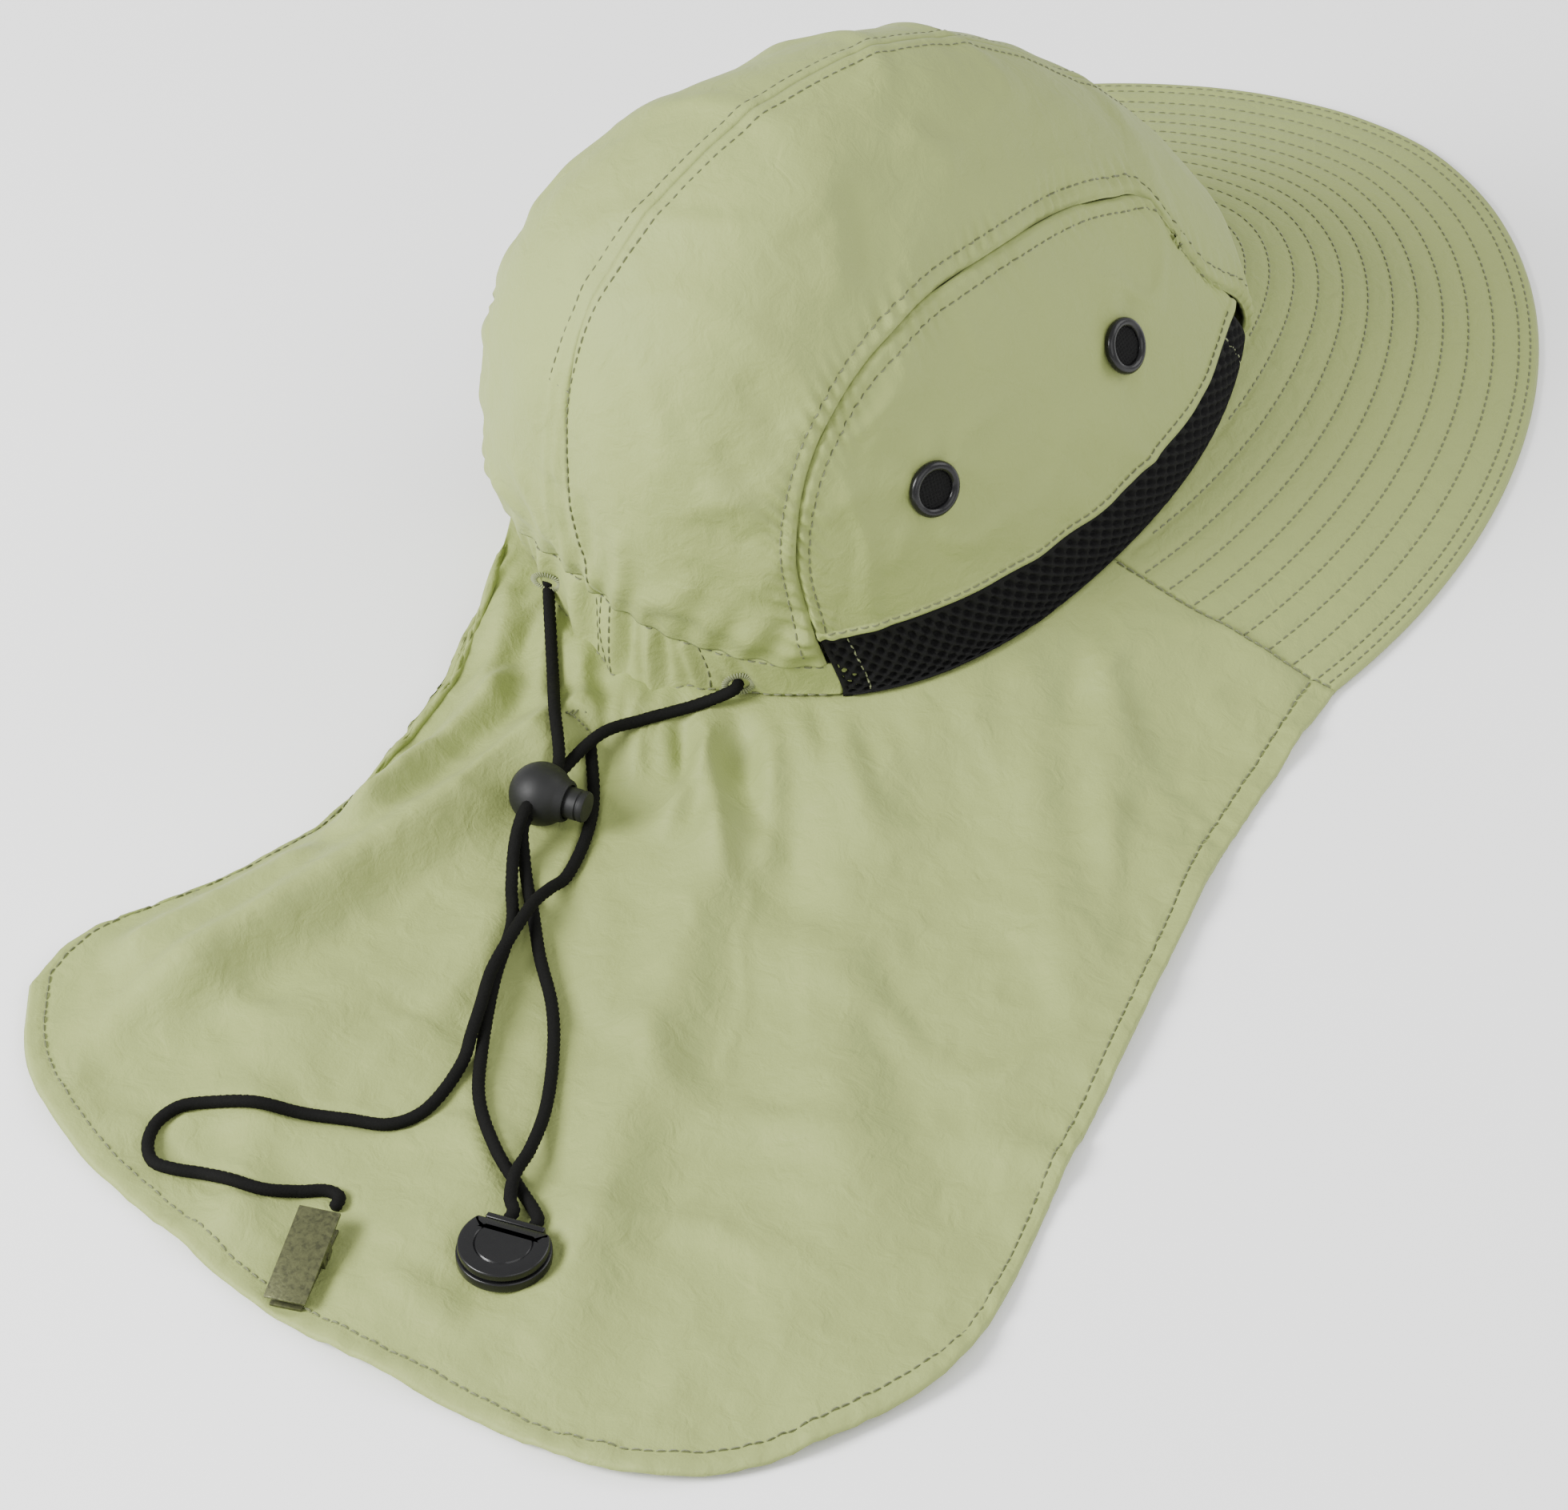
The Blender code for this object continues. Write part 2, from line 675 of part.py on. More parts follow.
def eyelet(side, place_name, degrees, up, collection):
    """A flanged ring on the side panel, closed by a disc of fine mesh."""
    profile = ((0.0, 0.0), (EYELET_RADIUS * 0.94, 0.0), (EYELET_RADIUS, 0.35 * EYELET_THICK),
               (EYELET_RADIUS * 0.86, EYELET_THICK), (EYELET_HOLE * 1.12, 0.9 * EYELET_THICK),
               (EYELET_HOLE, 0.45 * EYELET_THICK), (0.0, 0.45 * EYELET_THICK))
    name = "eyelet_%s_%s" % (place_name, "left" if side > 0 else "right")
    made = turned(name, profile, 14, "black_plastic", collection)
    here = on_side(side, degrees, up)
    across = on_side(side, degrees + 2, up) - on_side(side, degrees - 2, up)
    above = on_side(side, degrees, up + 0.02) - on_side(side, degrees, up - 0.02)
    normal = across.cross(above).normalized()
    if normal.dot(here - Vector((-0.03, 0.0, 0.03))) < 0:
        normal.negate()
    made.rotation_euler = normal.to_track_quat("Z", "Y").to_euler()
    made.location = here + normal * 0.9 * SEAT_GAP
    return made


def smooth_route(points, count):
    """Evenly counted points on a smooth curve through hand-chosen points."""
    points = [Vector(p) for p in points]
    curve = []
    for i in range(len(points) - 1):
        before = points[max(i - 1, 0)]
        after = points[min(i + 2, len(points) - 1)]
        here, then = points[i], points[i + 1]
        curve += interpolate_bezier(here, here + (then - before) / 6,
                                    then - (after - here) / 6, then, 12)[:-1]
    curve.append(points[-1])
    total = sum((b - a).length for a, b in zip(curve, curve[1:]))
    made, walked, k = [curve[0]], 0.0, 0
    for i in range(1, count):
        target = total * i / count
        while walked + (curve[k + 1] - curve[k]).length < target:
            walked += (curve[k + 1] - curve[k]).length
            k += 1
        span = (curve[k + 1] - curve[k]).length
        made.append(curve[k].lerp(curve[k + 1], (target - walked) / span))
    return made + [curve[-1]]


def on_flap(row):
    """A route's point raised so that the cord lies on the flap."""
    x, y, clear = row
    return Vector((x, y, skirt_height(x, y, CLOTH) + CORD_CLEAR + CORD_RADIUS + clear))


def cord(name, route, collection, start=None, end=None):
    """A cord's tube along its route, with its own point every few diameters."""
    points = [on_flap(row) for row in route]
    if start is not None:
        points = start + points
    if end is not None:
        points += end
    length = sum((b - a).length for a, b in zip(points, points[1:]))
    points = smooth_route(points, max(int(length / (2 * CORD_RADIUS * CORD_STEP)), 4))
    curve = bpy.data.curves.new(name, "CURVE")
    curve.dimensions = "3D"
    curve.bevel_depth = CORD_RADIUS
    curve.bevel_resolution = 2
    curve.use_fill_caps = True
    spline = curve.splines.new("POLY")
    spline.points.add(len(points) - 1)
    for target, point in zip(spline.points, points):
        target.co = (*point, 1.0)
    return add_object(name, curve, "black_cord", collection)


def cords(collection):
    """The draw cord's four runs, which meet in the lock, and the cord of the brass clip."""
    lock = placed(LOCK_PLACE, LOCK_TURN, LOCK_RADIUS, 0.75 * LOCK_RADIUS)
    snap = placed(SNAP_PLACE, SNAP_TURN, 0.0, SNAP_RADIUS)
    step = CORD_RADIUS + SEAT_GAP
    beside = 0.27 * SNAP_RADIUS
    for side, upper, lower in ((1, UPPER_LEFT_ROUTE, LOWER_LEFT_ROUTE),
                               (-1, UPPER_RIGHT_ROUTE, LOWER_RIGHT_ROUTE)):
        name = "left" if side > 0 else "right"
        into = [lock @ Vector((x, 0, side * step)) for x in (-1.25 * LOCK_RADIUS, -SEAT_GAP)]
        out = [lock @ Vector((x, 0, side * step)) for x in (SEAT_GAP, 1.25 * LOCK_RADIUS)]
        tied = [snap @ Vector((x, -side * beside, CORD_RADIUS + SEAT_GAP))
                for x in (SNAP_FLAT + 3 * CORD_RADIUS, SNAP_FLAT + 3 * SEAT_GAP)]
        cord("draw_cord_upper_" + name, upper, collection, end=into)
        cord("draw_cord_lower_" + name, lower, collection, start=out, end=tied)
    cord("clip_cord", CLIP_ROUTE, collection)


def placed(spot, turn, lift, reach):
    """Frame of a piece that lies on the flap's highest place within reach of a spot."""
    around = [(reach * share * math.cos(a), reach * share * math.sin(a))
              for share in (0.0, 0.5, 1.0) for a in (k * math.pi / 4 for k in range(8))]
    height = max(skirt_height(spot[0] + x, spot[1] + y, CLOTH) for x, y in around)
    return Matrix.Translation((*spot, height + SEAT_GAP + lift)) @ \
        Matrix.Rotation(math.radians(turn), 4, "Z")


def cutter(made, collection):
    made.hide_render = True
    made.display_type = "WIRE"
    for user in list(made.users_collection):
        user.objects.unlink(made)
    collection.objects.link(made)
    return made


def cut(target, tool, operation="DIFFERENCE"):
    change = target.modifiers.new(tool.name, "BOOLEAN")
    change.operation = operation
    change.object = tool
    return change


def box(name, size, centre, finish, collection):
    bm = bmesh.new()
    bmesh.ops.create_cube(bm, size=1.0)
    bmesh.ops.scale(bm, vec=size, verts=bm.verts)
    bmesh.ops.translate(bm, vec=centre, verts=bm.verts)
    mesh = bpy.data.meshes.new(name)
    bm.to_mesh(mesh)
    bm.free()
    return add_object(name, mesh, finish, collection)


def cord_lock(collection, cutters):
    """The ball-shaped cord lock on its side, with its button."""
    frame = placed(LOCK_PLACE, LOCK_TURN, LOCK_RADIUS, 0.75 * LOCK_RADIUS)
    bm = bmesh.new()
    bmesh.ops.create_uvsphere(bm, u_segments=16, v_segments=10, radius=LOCK_RADIUS)
    mesh = bpy.data.meshes.new("cord_lock_body")
    bm.to_mesh(mesh)
    bm.free()
    body = add_object("cord_lock_body", mesh, "black_plastic", collection)
    body.matrix_world = frame
    slot = cutter(box("lock_slot", (3 * LOCK_RADIUS, LOCK_SLOT_WIDTH, LOCK_SLOT_HEIGHT),
                      (0, 0, 0), "black_plastic", collection), cutters)
    slot.matrix_world = frame
    cut(body, slot)
    bore_radius = BUTTON_RADIUS + SEAT_GAP
    bore = cutter(turned("lock_bore", ((0, 0), (bore_radius, 0),
                                       (bore_radius, 2 * LOCK_RADIUS), (0, 2 * LOCK_RADIUS)),
                         16, "black_plastic", collection), cutters)
    across = frame @ Matrix.Rotation(math.radians(-90), 4, "X")
    bore.matrix_world = across
    cut(body, bore)
    inner = LOCK_SLOT_WIDTH / 2 + BUTTON_TRAVEL + SEAT_GAP
    outer = LOCK_RADIUS + BUTTON_STANDS_OUT
    button = turned("cord_lock_button",
                    ((0, inner), (BUTTON_RADIUS, inner),
                     (BUTTON_RADIUS, outer - 0.001), (BUTTON_RADIUS - 0.001, outer),
                     (0, outer)), 16, "black_plastic", collection)
    button.matrix_world = across
    return body, button


def snap_outline(radius, flat):
    """Round plate with one side cut straight, in the XY plane; the straight side is at +X."""
    start = math.acos(flat / radius)
    points = [(radius * math.cos(start + (2 * math.pi - 2 * start) * i / 18),
               radius * math.sin(start + (2 * math.pi - 2 * start) * i / 18))
              for i in range(19)]
    return points


def plate(name, outline, thick, base, finish, collection):
    bm = bmesh.new()
    face = bm.faces.new([bm.verts.new((x, y, base)) for x, y in outline])
    solid = bmesh.ops.extrude_face_region(bm, geom=[face])
    lifted = [item for item in solid["geom"] if isinstance(item, bmesh.types.BMVert)]
    bmesh.ops.translate(bm, vec=(0, 0, thick), verts=lifted)
    bmesh.ops.recalc_face_normals(bm, faces=bm.faces)
    mesh = bpy.data.meshes.new(name)
    bm.to_mesh(mesh)
    bm.free()
    return add_object(name, mesh, finish, collection)


def snap_clip(collection):
    """The D-shaped plastic clip: a base and a lid hinged at the straight end."""
    frame = placed(SNAP_PLACE, SNAP_TURN, 0.0, SNAP_RADIUS)
    base = plate("snap_clip_base", snap_outline(SNAP_RADIUS, SNAP_FLAT), SNAP_BASE_THICK, 0.0,
                 "black_plastic", collection)
    hinge_x = SNAP_FLAT - SNAP_BAR - SEAT_GAP
    hinge_height = SNAP_BASE_THICK + SEAT_GAP + SNAP_LID_THICK
    lid_outline = [(x - hinge_x, y) for x, y in snap_outline(LID_RADIUS, hinge_x)]
    lid = plate("snap_clip_lid", lid_outline, SNAP_LID_THICK, -SNAP_LID_THICK,
                "black_plastic", collection)
    bar = box("snap_bar", (SNAP_BAR, 1.3 * SNAP_RADIUS, SNAP_BASE_THICK + SNAP_LID_THICK),
              (SNAP_FLAT - SNAP_BAR / 2, 0, (SNAP_BASE_THICK + SNAP_LID_THICK) / 2),
              "black_plastic", collection)
    base.matrix_world = frame
    lid.matrix_world = frame @ Matrix.Translation((hinge_x, 0, hinge_height))
    cutter(bar, bpy.data.collections["cutters"]).matrix_world = frame
    cut(base, bar, "UNION")


def jaw_clip(collection, cutters):
    """The small brass spring clip: an upper plate and a lower one that carries the pin."""
    frame = placed(JAW_PLACE, JAW_TURN, 0.0, JAW_LENGTH / 2)
    pin_height = JAW_THICK + JAW_EAR / 2
    pin_at = -JAW_LENGTH / 2 + JAW_TAIL
    inner_width = JAW_WIDTH - 2 * (JAW_THICK + SEAT_GAP)
    lower = box("brass_clip_lower", (JAW_LENGTH, inner_width, JAW_THICK),
                (0, 0, JAW_THICK / 2), "old_brass", collection)
    lower.matrix_world = frame
    tilted = frame @ Matrix.Translation((pin_at, 0, pin_height)) @ \
        Matrix.Rotation(math.radians(JAW_TILT), 4, "Y")
    upper = box("brass_clip_upper", (JAW_LENGTH, JAW_WIDTH, JAW_THICK),
                (-pin_at, 0, JAW_EAR / 2 + JAW_THICK / 2), "old_brass", collection)
    upper.matrix_world = tilted
    for way in (1, -1):
        lug = box("jaw_lug_%d" % way, (1.2 * JAW_EAR, JAW_THICK, 0.8 * JAW_EAR),
                  (pin_at, way * (inner_width - JAW_THICK) / 2, JAW_THICK + 0.35 * JAW_EAR),
                  "old_brass", collection)
        cutter(lug, cutters).matrix_world = frame
        cut(lower, lug, "UNION")
        ear = box("jaw_ear_%d" % way, (1.3 * JAW_EAR, JAW_THICK, JAW_EAR),
                  (0, way * (JAW_WIDTH - JAW_THICK) / 2, JAW_THICK / 2),
                  "old_brass", collection)
        cutter(ear, cutters).matrix_world = tilted
        cut(upper, ear, "UNION")
    across = tilted @ Matrix.Rotation(math.radians(90), 4, "X")
    bore_radius = JAW_PIN_RADIUS + SEAT_GAP
    bore = turned("jaw_bore", ((0, -JAW_WIDTH), (bore_radius, -JAW_WIDTH),
                               (bore_radius, JAW_WIDTH), (0, JAW_WIDTH)),
                  12, "old_brass", collection)
    cutter(bore, cutters).matrix_world = across
    cut(upper, bore)
    half = JAW_WIDTH / 2 + 0.4 * JAW_THICK
    pin = turned("jaw_pin", ((0, -half), (JAW_PIN_RADIUS, -half), (JAW_PIN_RADIUS, half),
                             (0, half)), 12, "old_brass", collection)
    cutter(pin, cutters).matrix_world = across
    cut(lower, pin, "UNION")


def build():
    for old in list(bpy.data.objects):
        bpy.data.objects.remove(old, do_unlink=True)
    hat = bpy.data.collections.new("flap_sun_hat")
    cutters = bpy.data.collections.new("cutters")
    bpy.context.scene.collection.children.link(hat)
    bpy.context.scene.collection.children.link(cutters)
    for side in (1, -1):
        crown_panel(side, hat)
        side_panel(side, hat)
        mesh_band(side, hat)
        for name, degrees, up in EYELETS:
            eyelet(side, name, degrees, up, hat)
    back_band(hat)
    brim(hat)
    neck_flap(hat)
    cords(hat)
    cord_lock(hat, cutters)
    snap_clip(hat)
    jaw_clip(hat, cutters)


build()
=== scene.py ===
"""Flap sun hat: the dressed model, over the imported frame.

Frame: +X is the hat's front, +Y the wearer's left, +Z up, metres. The hat lies on the floor.
"""
import math

import bmesh
import bpy
import numpy as np
from bpy.props import FloatProperty, FloatVectorProperty, IntProperty, PointerProperty
from mathutils import Matrix, Vector, noise
from mathutils.geometry import interpolate_bezier


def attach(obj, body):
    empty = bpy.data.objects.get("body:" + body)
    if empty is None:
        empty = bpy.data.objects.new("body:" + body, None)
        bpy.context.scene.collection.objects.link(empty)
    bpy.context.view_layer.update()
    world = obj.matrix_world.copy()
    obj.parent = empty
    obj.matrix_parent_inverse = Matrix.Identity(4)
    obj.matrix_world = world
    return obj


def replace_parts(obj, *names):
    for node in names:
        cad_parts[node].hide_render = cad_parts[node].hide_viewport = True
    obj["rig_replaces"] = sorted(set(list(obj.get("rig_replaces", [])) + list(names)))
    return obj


bl_info = {
    "name": "Flap Sun Hat",
    "version": (1, 0, 0),
    "blender": (4, 5, 0),
    "location": "View3D > Sidebar > Sun Hat",
    "description": "Builds a cloth sun hat with a stiff brim, a neck flap and a draw cord",
    "category": "Object",
}

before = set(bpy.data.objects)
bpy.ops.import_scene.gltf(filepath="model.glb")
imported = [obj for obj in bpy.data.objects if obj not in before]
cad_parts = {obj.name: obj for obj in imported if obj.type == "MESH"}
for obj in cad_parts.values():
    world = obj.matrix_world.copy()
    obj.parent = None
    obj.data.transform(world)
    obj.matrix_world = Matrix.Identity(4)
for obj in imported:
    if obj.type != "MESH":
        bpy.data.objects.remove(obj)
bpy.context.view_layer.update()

# Sizes and angles shared with the solids
RIM_LENGTH = 0.200
RIM_WIDTH = 0.154
RIM_HEIGHT = 0.0173
CROWN_TOP = 0.139
BAND_WIDTH = 0.021
BACK_BAND_WIDTH = 0.020
CLOTH = 0.0012
MESH_THICK = 0.0020
SEAM_GAP = 0.0006
SEAT_GAP = 0.0003
BRIM_FRONT = 0.093
BRIM_SIDE = 0.056
BRIM_THICK = 0.0024
BRIM_EDGE_LIFT = 0.0002
BRIM_SHIFT = 0.010
BRIM_POWER = 1.85
FLAP_LENGTH = 0.193
FLAP_RIGHT = 0.155
FLAP_LEFT = 0.058
FLAP_FALL = 0.060
FLAP_BOW = 0.020
BOW_NEAR = 0.088
BOW_FAR = 0.270
FOLD_HEIGHT = 0.010
GATHERS = 17
FLAP_GATHER = 0.0008
GATHER_START = 0.010
GATHER_REACH = 0.020
GATHER_FREE = 0.007
EYELET_RADIUS = 0.0070
EYELET_HOLE = 0.0045
EYELET_THICK = 0.0016
EYELETS = (
    # name, degrees from the front, share of the way up
    ("rear", 99.5, 0.385),
    ("front", 58.5, 0.352),
)
CORD_RADIUS = 0.0015
CORD_CLEAR = 0.0007
LOCK_RADIUS = 0.0077
BUTTON_RADIUS = 0.0038
BUTTON_STANDS_OUT = 0.0045
SNAP_RADIUS = 0.0108
LID_RADIUS = 0.0103
SNAP_FLAT = 0.0076
SNAP_BASE_THICK = 0.0026
SNAP_LID_THICK = 0.0022
SNAP_BAR = 0.0016
JAW_LENGTH = 0.0250
JAW_WIDTH = 0.0098
JAW_THICK = 0.0008
JAW_EAR = 0.0040
JAW_PIN_RADIUS = 0.0009
JAW_TAIL = 0.0100
JAW_TILT = 9.0
BRIM_END = 88.0
BAND_FRONT = 42.0
BAND_BACK = 133.6
BRIM_TURN = 8.5
BRIM_BLEND = 22.0
BOW_START = 145.0
BOW_BLEND = 35.0
UNDER_START = 212.0
UNDER_END = 256.0
UNDER_BLEND = 10.0
SWAY = 9.0
SWAY_SPREAD = 40.0
PROFILE_SWEEP = 95.0
RISE_POWER = 1.40
RISE_SIDE = -0.22
LEAN = -0.20
BELLY = -0.20
FRONT_FULL = 0.21
EGG = 0.21
RIM_POWER = 2.2
TUCK = 0.09
TUCK_SPREAD = 30.0
FLOOR_END = 130.0
FLOOR_SPREAD = 80.0
PANEL_STEPS = 24
PANEL_SPAN = (2, 20)
RIM_RISE = (
    # degrees, share
    (0.0, 1.60), (40.0, 1.62), (60.0, 1.40), (90.0, 1.20),
    (120.0, 0.98), (140.0, 0.82), (160.0, 0.78), (180.0, 0.86),
)
ARC_SEAM = (
    # along, out
    (-1.00, 0.690), (-0.89, 0.670), (-0.74, 0.638), (-0.60, 0.595), (-0.46, 0.553),
    (-0.35, 0.515), (-0.20, 0.470), (-0.04, 0.430), (0.15, 0.391), (0.32, 0.356),
    (0.46, 0.337), (0.53, 0.336), (0.58, 0.412), (0.66, 0.487), (0.81, 0.535),
    (1.00, 0.643),
)
HEM = (
    # degrees, back, side
    (88.0, -0.073, -0.860), (98.0, 0.010, -0.920), (107.0, 0.085, -0.974),
    (115.0, 0.147, -1.026), (124.0, 0.345, -1.220), (131.0, 0.468, -1.335),
    (137.0, 0.590, -1.455), (142.0, 0.666, -1.497), (147.0, 0.758, -1.477),
    (152.0, 0.833, -1.432), (157.0, 0.890, -1.350), (161.0, 0.925, -1.245),
    (164.5, 0.948, -1.110), (168.0, 0.976, -0.923), (171.0, 0.996, -0.748),
    (174.0, 1.000, -0.555), (177.0, 1.000, -0.329), (180.0, 0.980, -0.161),
    (183.0, 0.940, -0.045), (186.0, 0.8635, 0.086), (190.0, 0.779, 0.007),
    (194.5, 0.683, -0.022), (199.0, 0.580, 0.020), (204.0, 0.478, 0.150),
    (210.0, 0.386, 0.400), (217.0, 0.324, 0.595), (224.0, 0.273, 0.690),
    (232.0, 0.212, 0.890), (240.0, 0.171, 1.200), (246.0, 0.157, 1.466),
    (252.0, 0.130, 1.724), (260.0, 0.050, 2.020), (272.0, -0.073, 2.298),
)
FOLDS = (
    # from back, from side, to back, to side, width, height
    (0.40, -0.145, 0.87, -0.165, 0.026, 1.15),
    (0.42, 0.005, 0.63, -0.078, 0.018, 0.95),
    (0.66, -0.086, 0.85, -0.060, 0.018, 0.50),
    (0.32, -0.300, 0.44, -0.400, 0.012, 0.45),
    (0.31, -0.360, 0.40, -0.560, 0.014, 0.40),
    (0.38, -0.430, 0.86, -1.080, 0.034, 0.55),
    (0.30, -0.520, 0.60, -1.150, 0.040, 0.35),
    (0.05, -0.620, 0.20, -0.900, 0.022, 0.35),
    (0.16, -0.640, 0.30, -1.050, 0.026, 0.30),
    (0.70, -0.640, 0.93, -0.900, 0.045, 0.30),
    (0.86, -0.420, 0.97, -0.620, 0.022, 0.30),
    (0.60, -0.350, 0.90, -0.360, 0.040, 0.25),
)
UPPER_LEFT_ROUTE = (
    # x, y, clear
    (-0.1010, 0.0125, 0.0030), (-0.1060, 0.0062, 0.0032), (-0.1160, -0.0066, 0.0014),
    (-0.1265, -0.0200, 0.0008),
)
UPPER_RIGHT_ROUTE = (
    # x, y, clear
    (-0.0925, -0.0455, 0.0025), (-0.1000, -0.0400, 0.0008), (-0.1112, -0.0345, 0.0022),
    (-0.1230, -0.0325, 0.0046),
)
LOWER_LEFT_ROUTE = (
    # x, y, clear
    (-0.1605, -0.0455, 0.0055), (-0.1680, -0.0532, 0.0020), (-0.1755, -0.0622, 0.0006),
    (-0.1899, -0.0732, 0.0006), (-0.2071, -0.0894, 0.0006), (-0.2184, -0.1025, 0.0006),
    (-0.2252, -0.1165, 0.0006), (-0.2280, -0.1275, 0.0006),
)
LOWER_RIGHT_ROUTE = (
    # x, y, clear
    (-0.1590, -0.0470, 0.0022), (-0.1640, -0.0542, 0.0006), (-0.1690, -0.0622, 0.0006),
    (-0.1770, -0.0742, 0.0006), (-0.1850, -0.0880, 0.0006), (-0.1948, -0.1002, 0.0006),
    (-0.2083, -0.1138, 0.0010), (-0.2200, -0.1225, 0.0030), (-0.2280, -0.1270, 0.0044),
    (-0.2330, -0.1310, 0.0034),
)
CLIP_ROUTE = (
    # x, y, clear
    (-0.1245, -0.0305, 0.0006), (-0.1338, -0.0425, 0.0005), (-0.1438, -0.0512, 0.0006),
    (-0.1553, -0.0582, 0.0012), (-0.1620, -0.0602, 0.0030), (-0.1697, -0.0628, 0.0044),
    (-0.1813, -0.0683, 0.0044), (-0.1906, -0.0732, 0.0044), (-0.1993, -0.0798, 0.0040),
    (-0.2060, -0.0846, 0.0030), (-0.2120, -0.0888, 0.0010), (-0.2222, -0.0935, 0.0006),
    (-0.2302, -0.0948, 0.0006), (-0.2370, -0.0920, 0.0006), (-0.2423, -0.0849, 0.0006),
    (-0.2490, -0.0765, 0.0006), (-0.2565, -0.0690, 0.0006), (-0.2627, -0.0605, 0.0006),
    (-0.2684, -0.0562, 0.0006), (-0.2750, -0.0562, 0.0006), (-0.2805, -0.0600, 0.0006),
    (-0.2830, -0.0652, 0.0006), (-0.2812, -0.0705, 0.0010), (-0.2776, -0.0760, 0.0010),
    (-0.2751, -0.0831, 0.0008), (-0.2708, -0.0901, 0.0006), (-0.2645, -0.0948, 0.0006),
    (-0.2600, -0.0985, 0.0006), (-0.2592, -0.1025, 0.0010), (-0.2625, -0.1048, 0.0014),
)
LOCK_PLACE = (-0.1463, -0.0385)
LOCK_TURN = 204.0
SNAP_PLACE = (-0.2443, -0.1424)
SNAP_TURN = 27.0
JAW_PLACE = (-0.2775, -0.1128)
JAW_TURN = 212.0

# Seams and stitching
SEAM_ROW = 0.0048
CENTRE_ROW = 0.0030
HEM_ROW = 0.0062
BRIM_ROWS = 13
BRIM_ROW_STEP = 0.0070
BRIM_FIRST_ROW = 0.0055
NET_PITCH = 0.0044
BAND_SLANT = 5.0
BED_SLOPE = 0.7
BED_GAP = 0.0002
BRIM_OVERLAP = 0.3
SLIT = ((-0.1232, -0.0212), (-0.1176, -0.0376))
BUTTONHOLES = {
    # side: degrees, share of the back band's width
    "left": (164.3, 0.42),
    "right": (205.0, 0.32),
}
BAND_FLARE = (
    # degrees, how far the back band's lower edge stands out in metres
    (140.0, 0.0), (150.0, 0.0010), (158.0, 0.0045), (166.0, 0.0095), (173.0, 0.0130),
    (179.0, 0.0140), (185.0, 0.0138), (189.5, 0.0120), (194.0, 0.0075), (199.0, 0.0042),
    (206.0, 0.0020), (216.0, 0.0),
)

# Soft creases of the crown: from and to in degrees from the front and share of the way up,
# then the width and the height in metres
CROWN_CREASES = (
    # degrees, up, degrees, up, width, height
    (-107.0, 0.47, -89.0, 0.59, 0.0042, 0.0011),
    (-111.0, 0.42, -121.0, 0.39, 0.0035, 0.0007),
    (-108.0, 0.34, -114.0, 0.29, 0.0030, 0.0006),
    (-102.0, 0.78, -102.0, 0.68, 0.0045, -0.0014),
    (-107.0, 0.77, -108.0, 0.67, 0.0050, 0.0012),
    (-134.0, 0.57, -126.0, 0.52, 0.0040, -0.0011),
    (-138.0, 0.48, -131.0, 0.42, 0.0035, -0.0010),
    (-142.0, 0.42, -133.0, 0.38, 0.0035, 0.0009),
    (-146.0, 0.36, -136.0, 0.34, 0.0035, -0.0010),
    (-160.0, 0.20, -142.0, 0.14, 0.0040, 0.0014),
    (-150.0, 0.27, -138.0, 0.22, 0.0034, -0.0010),
    (-165.0, 0.16, -150.0, 0.26, 0.0036, 0.0013),
    (-172.0, 0.15, -166.0, 0.27, 0.0030, 0.0013),
    (-178.0, 0.16, -176.0, 0.28, 0.0028, -0.0012),
    (174.0, 0.15, 178.0, 0.26, 0.0030, 0.0013),
    (-170.0, 0.45, -160.0, 0.20, 0.0080, 0.0014),
    (172.0, 0.50, 178.0, 0.22, 0.0070, -0.0012),
    (-66.0, 0.80, -60.0, 0.70, 0.0060, 0.0012),
    (-40.0, 0.60, -46.0, 0.36, 0.0060, -0.0010),
    (-120.0, 0.86, -150.0, 0.55, 0.0140, 0.0012),
    (-60.0, 0.30, -80.0, 0.46, 0.0090, -0.0008),
)

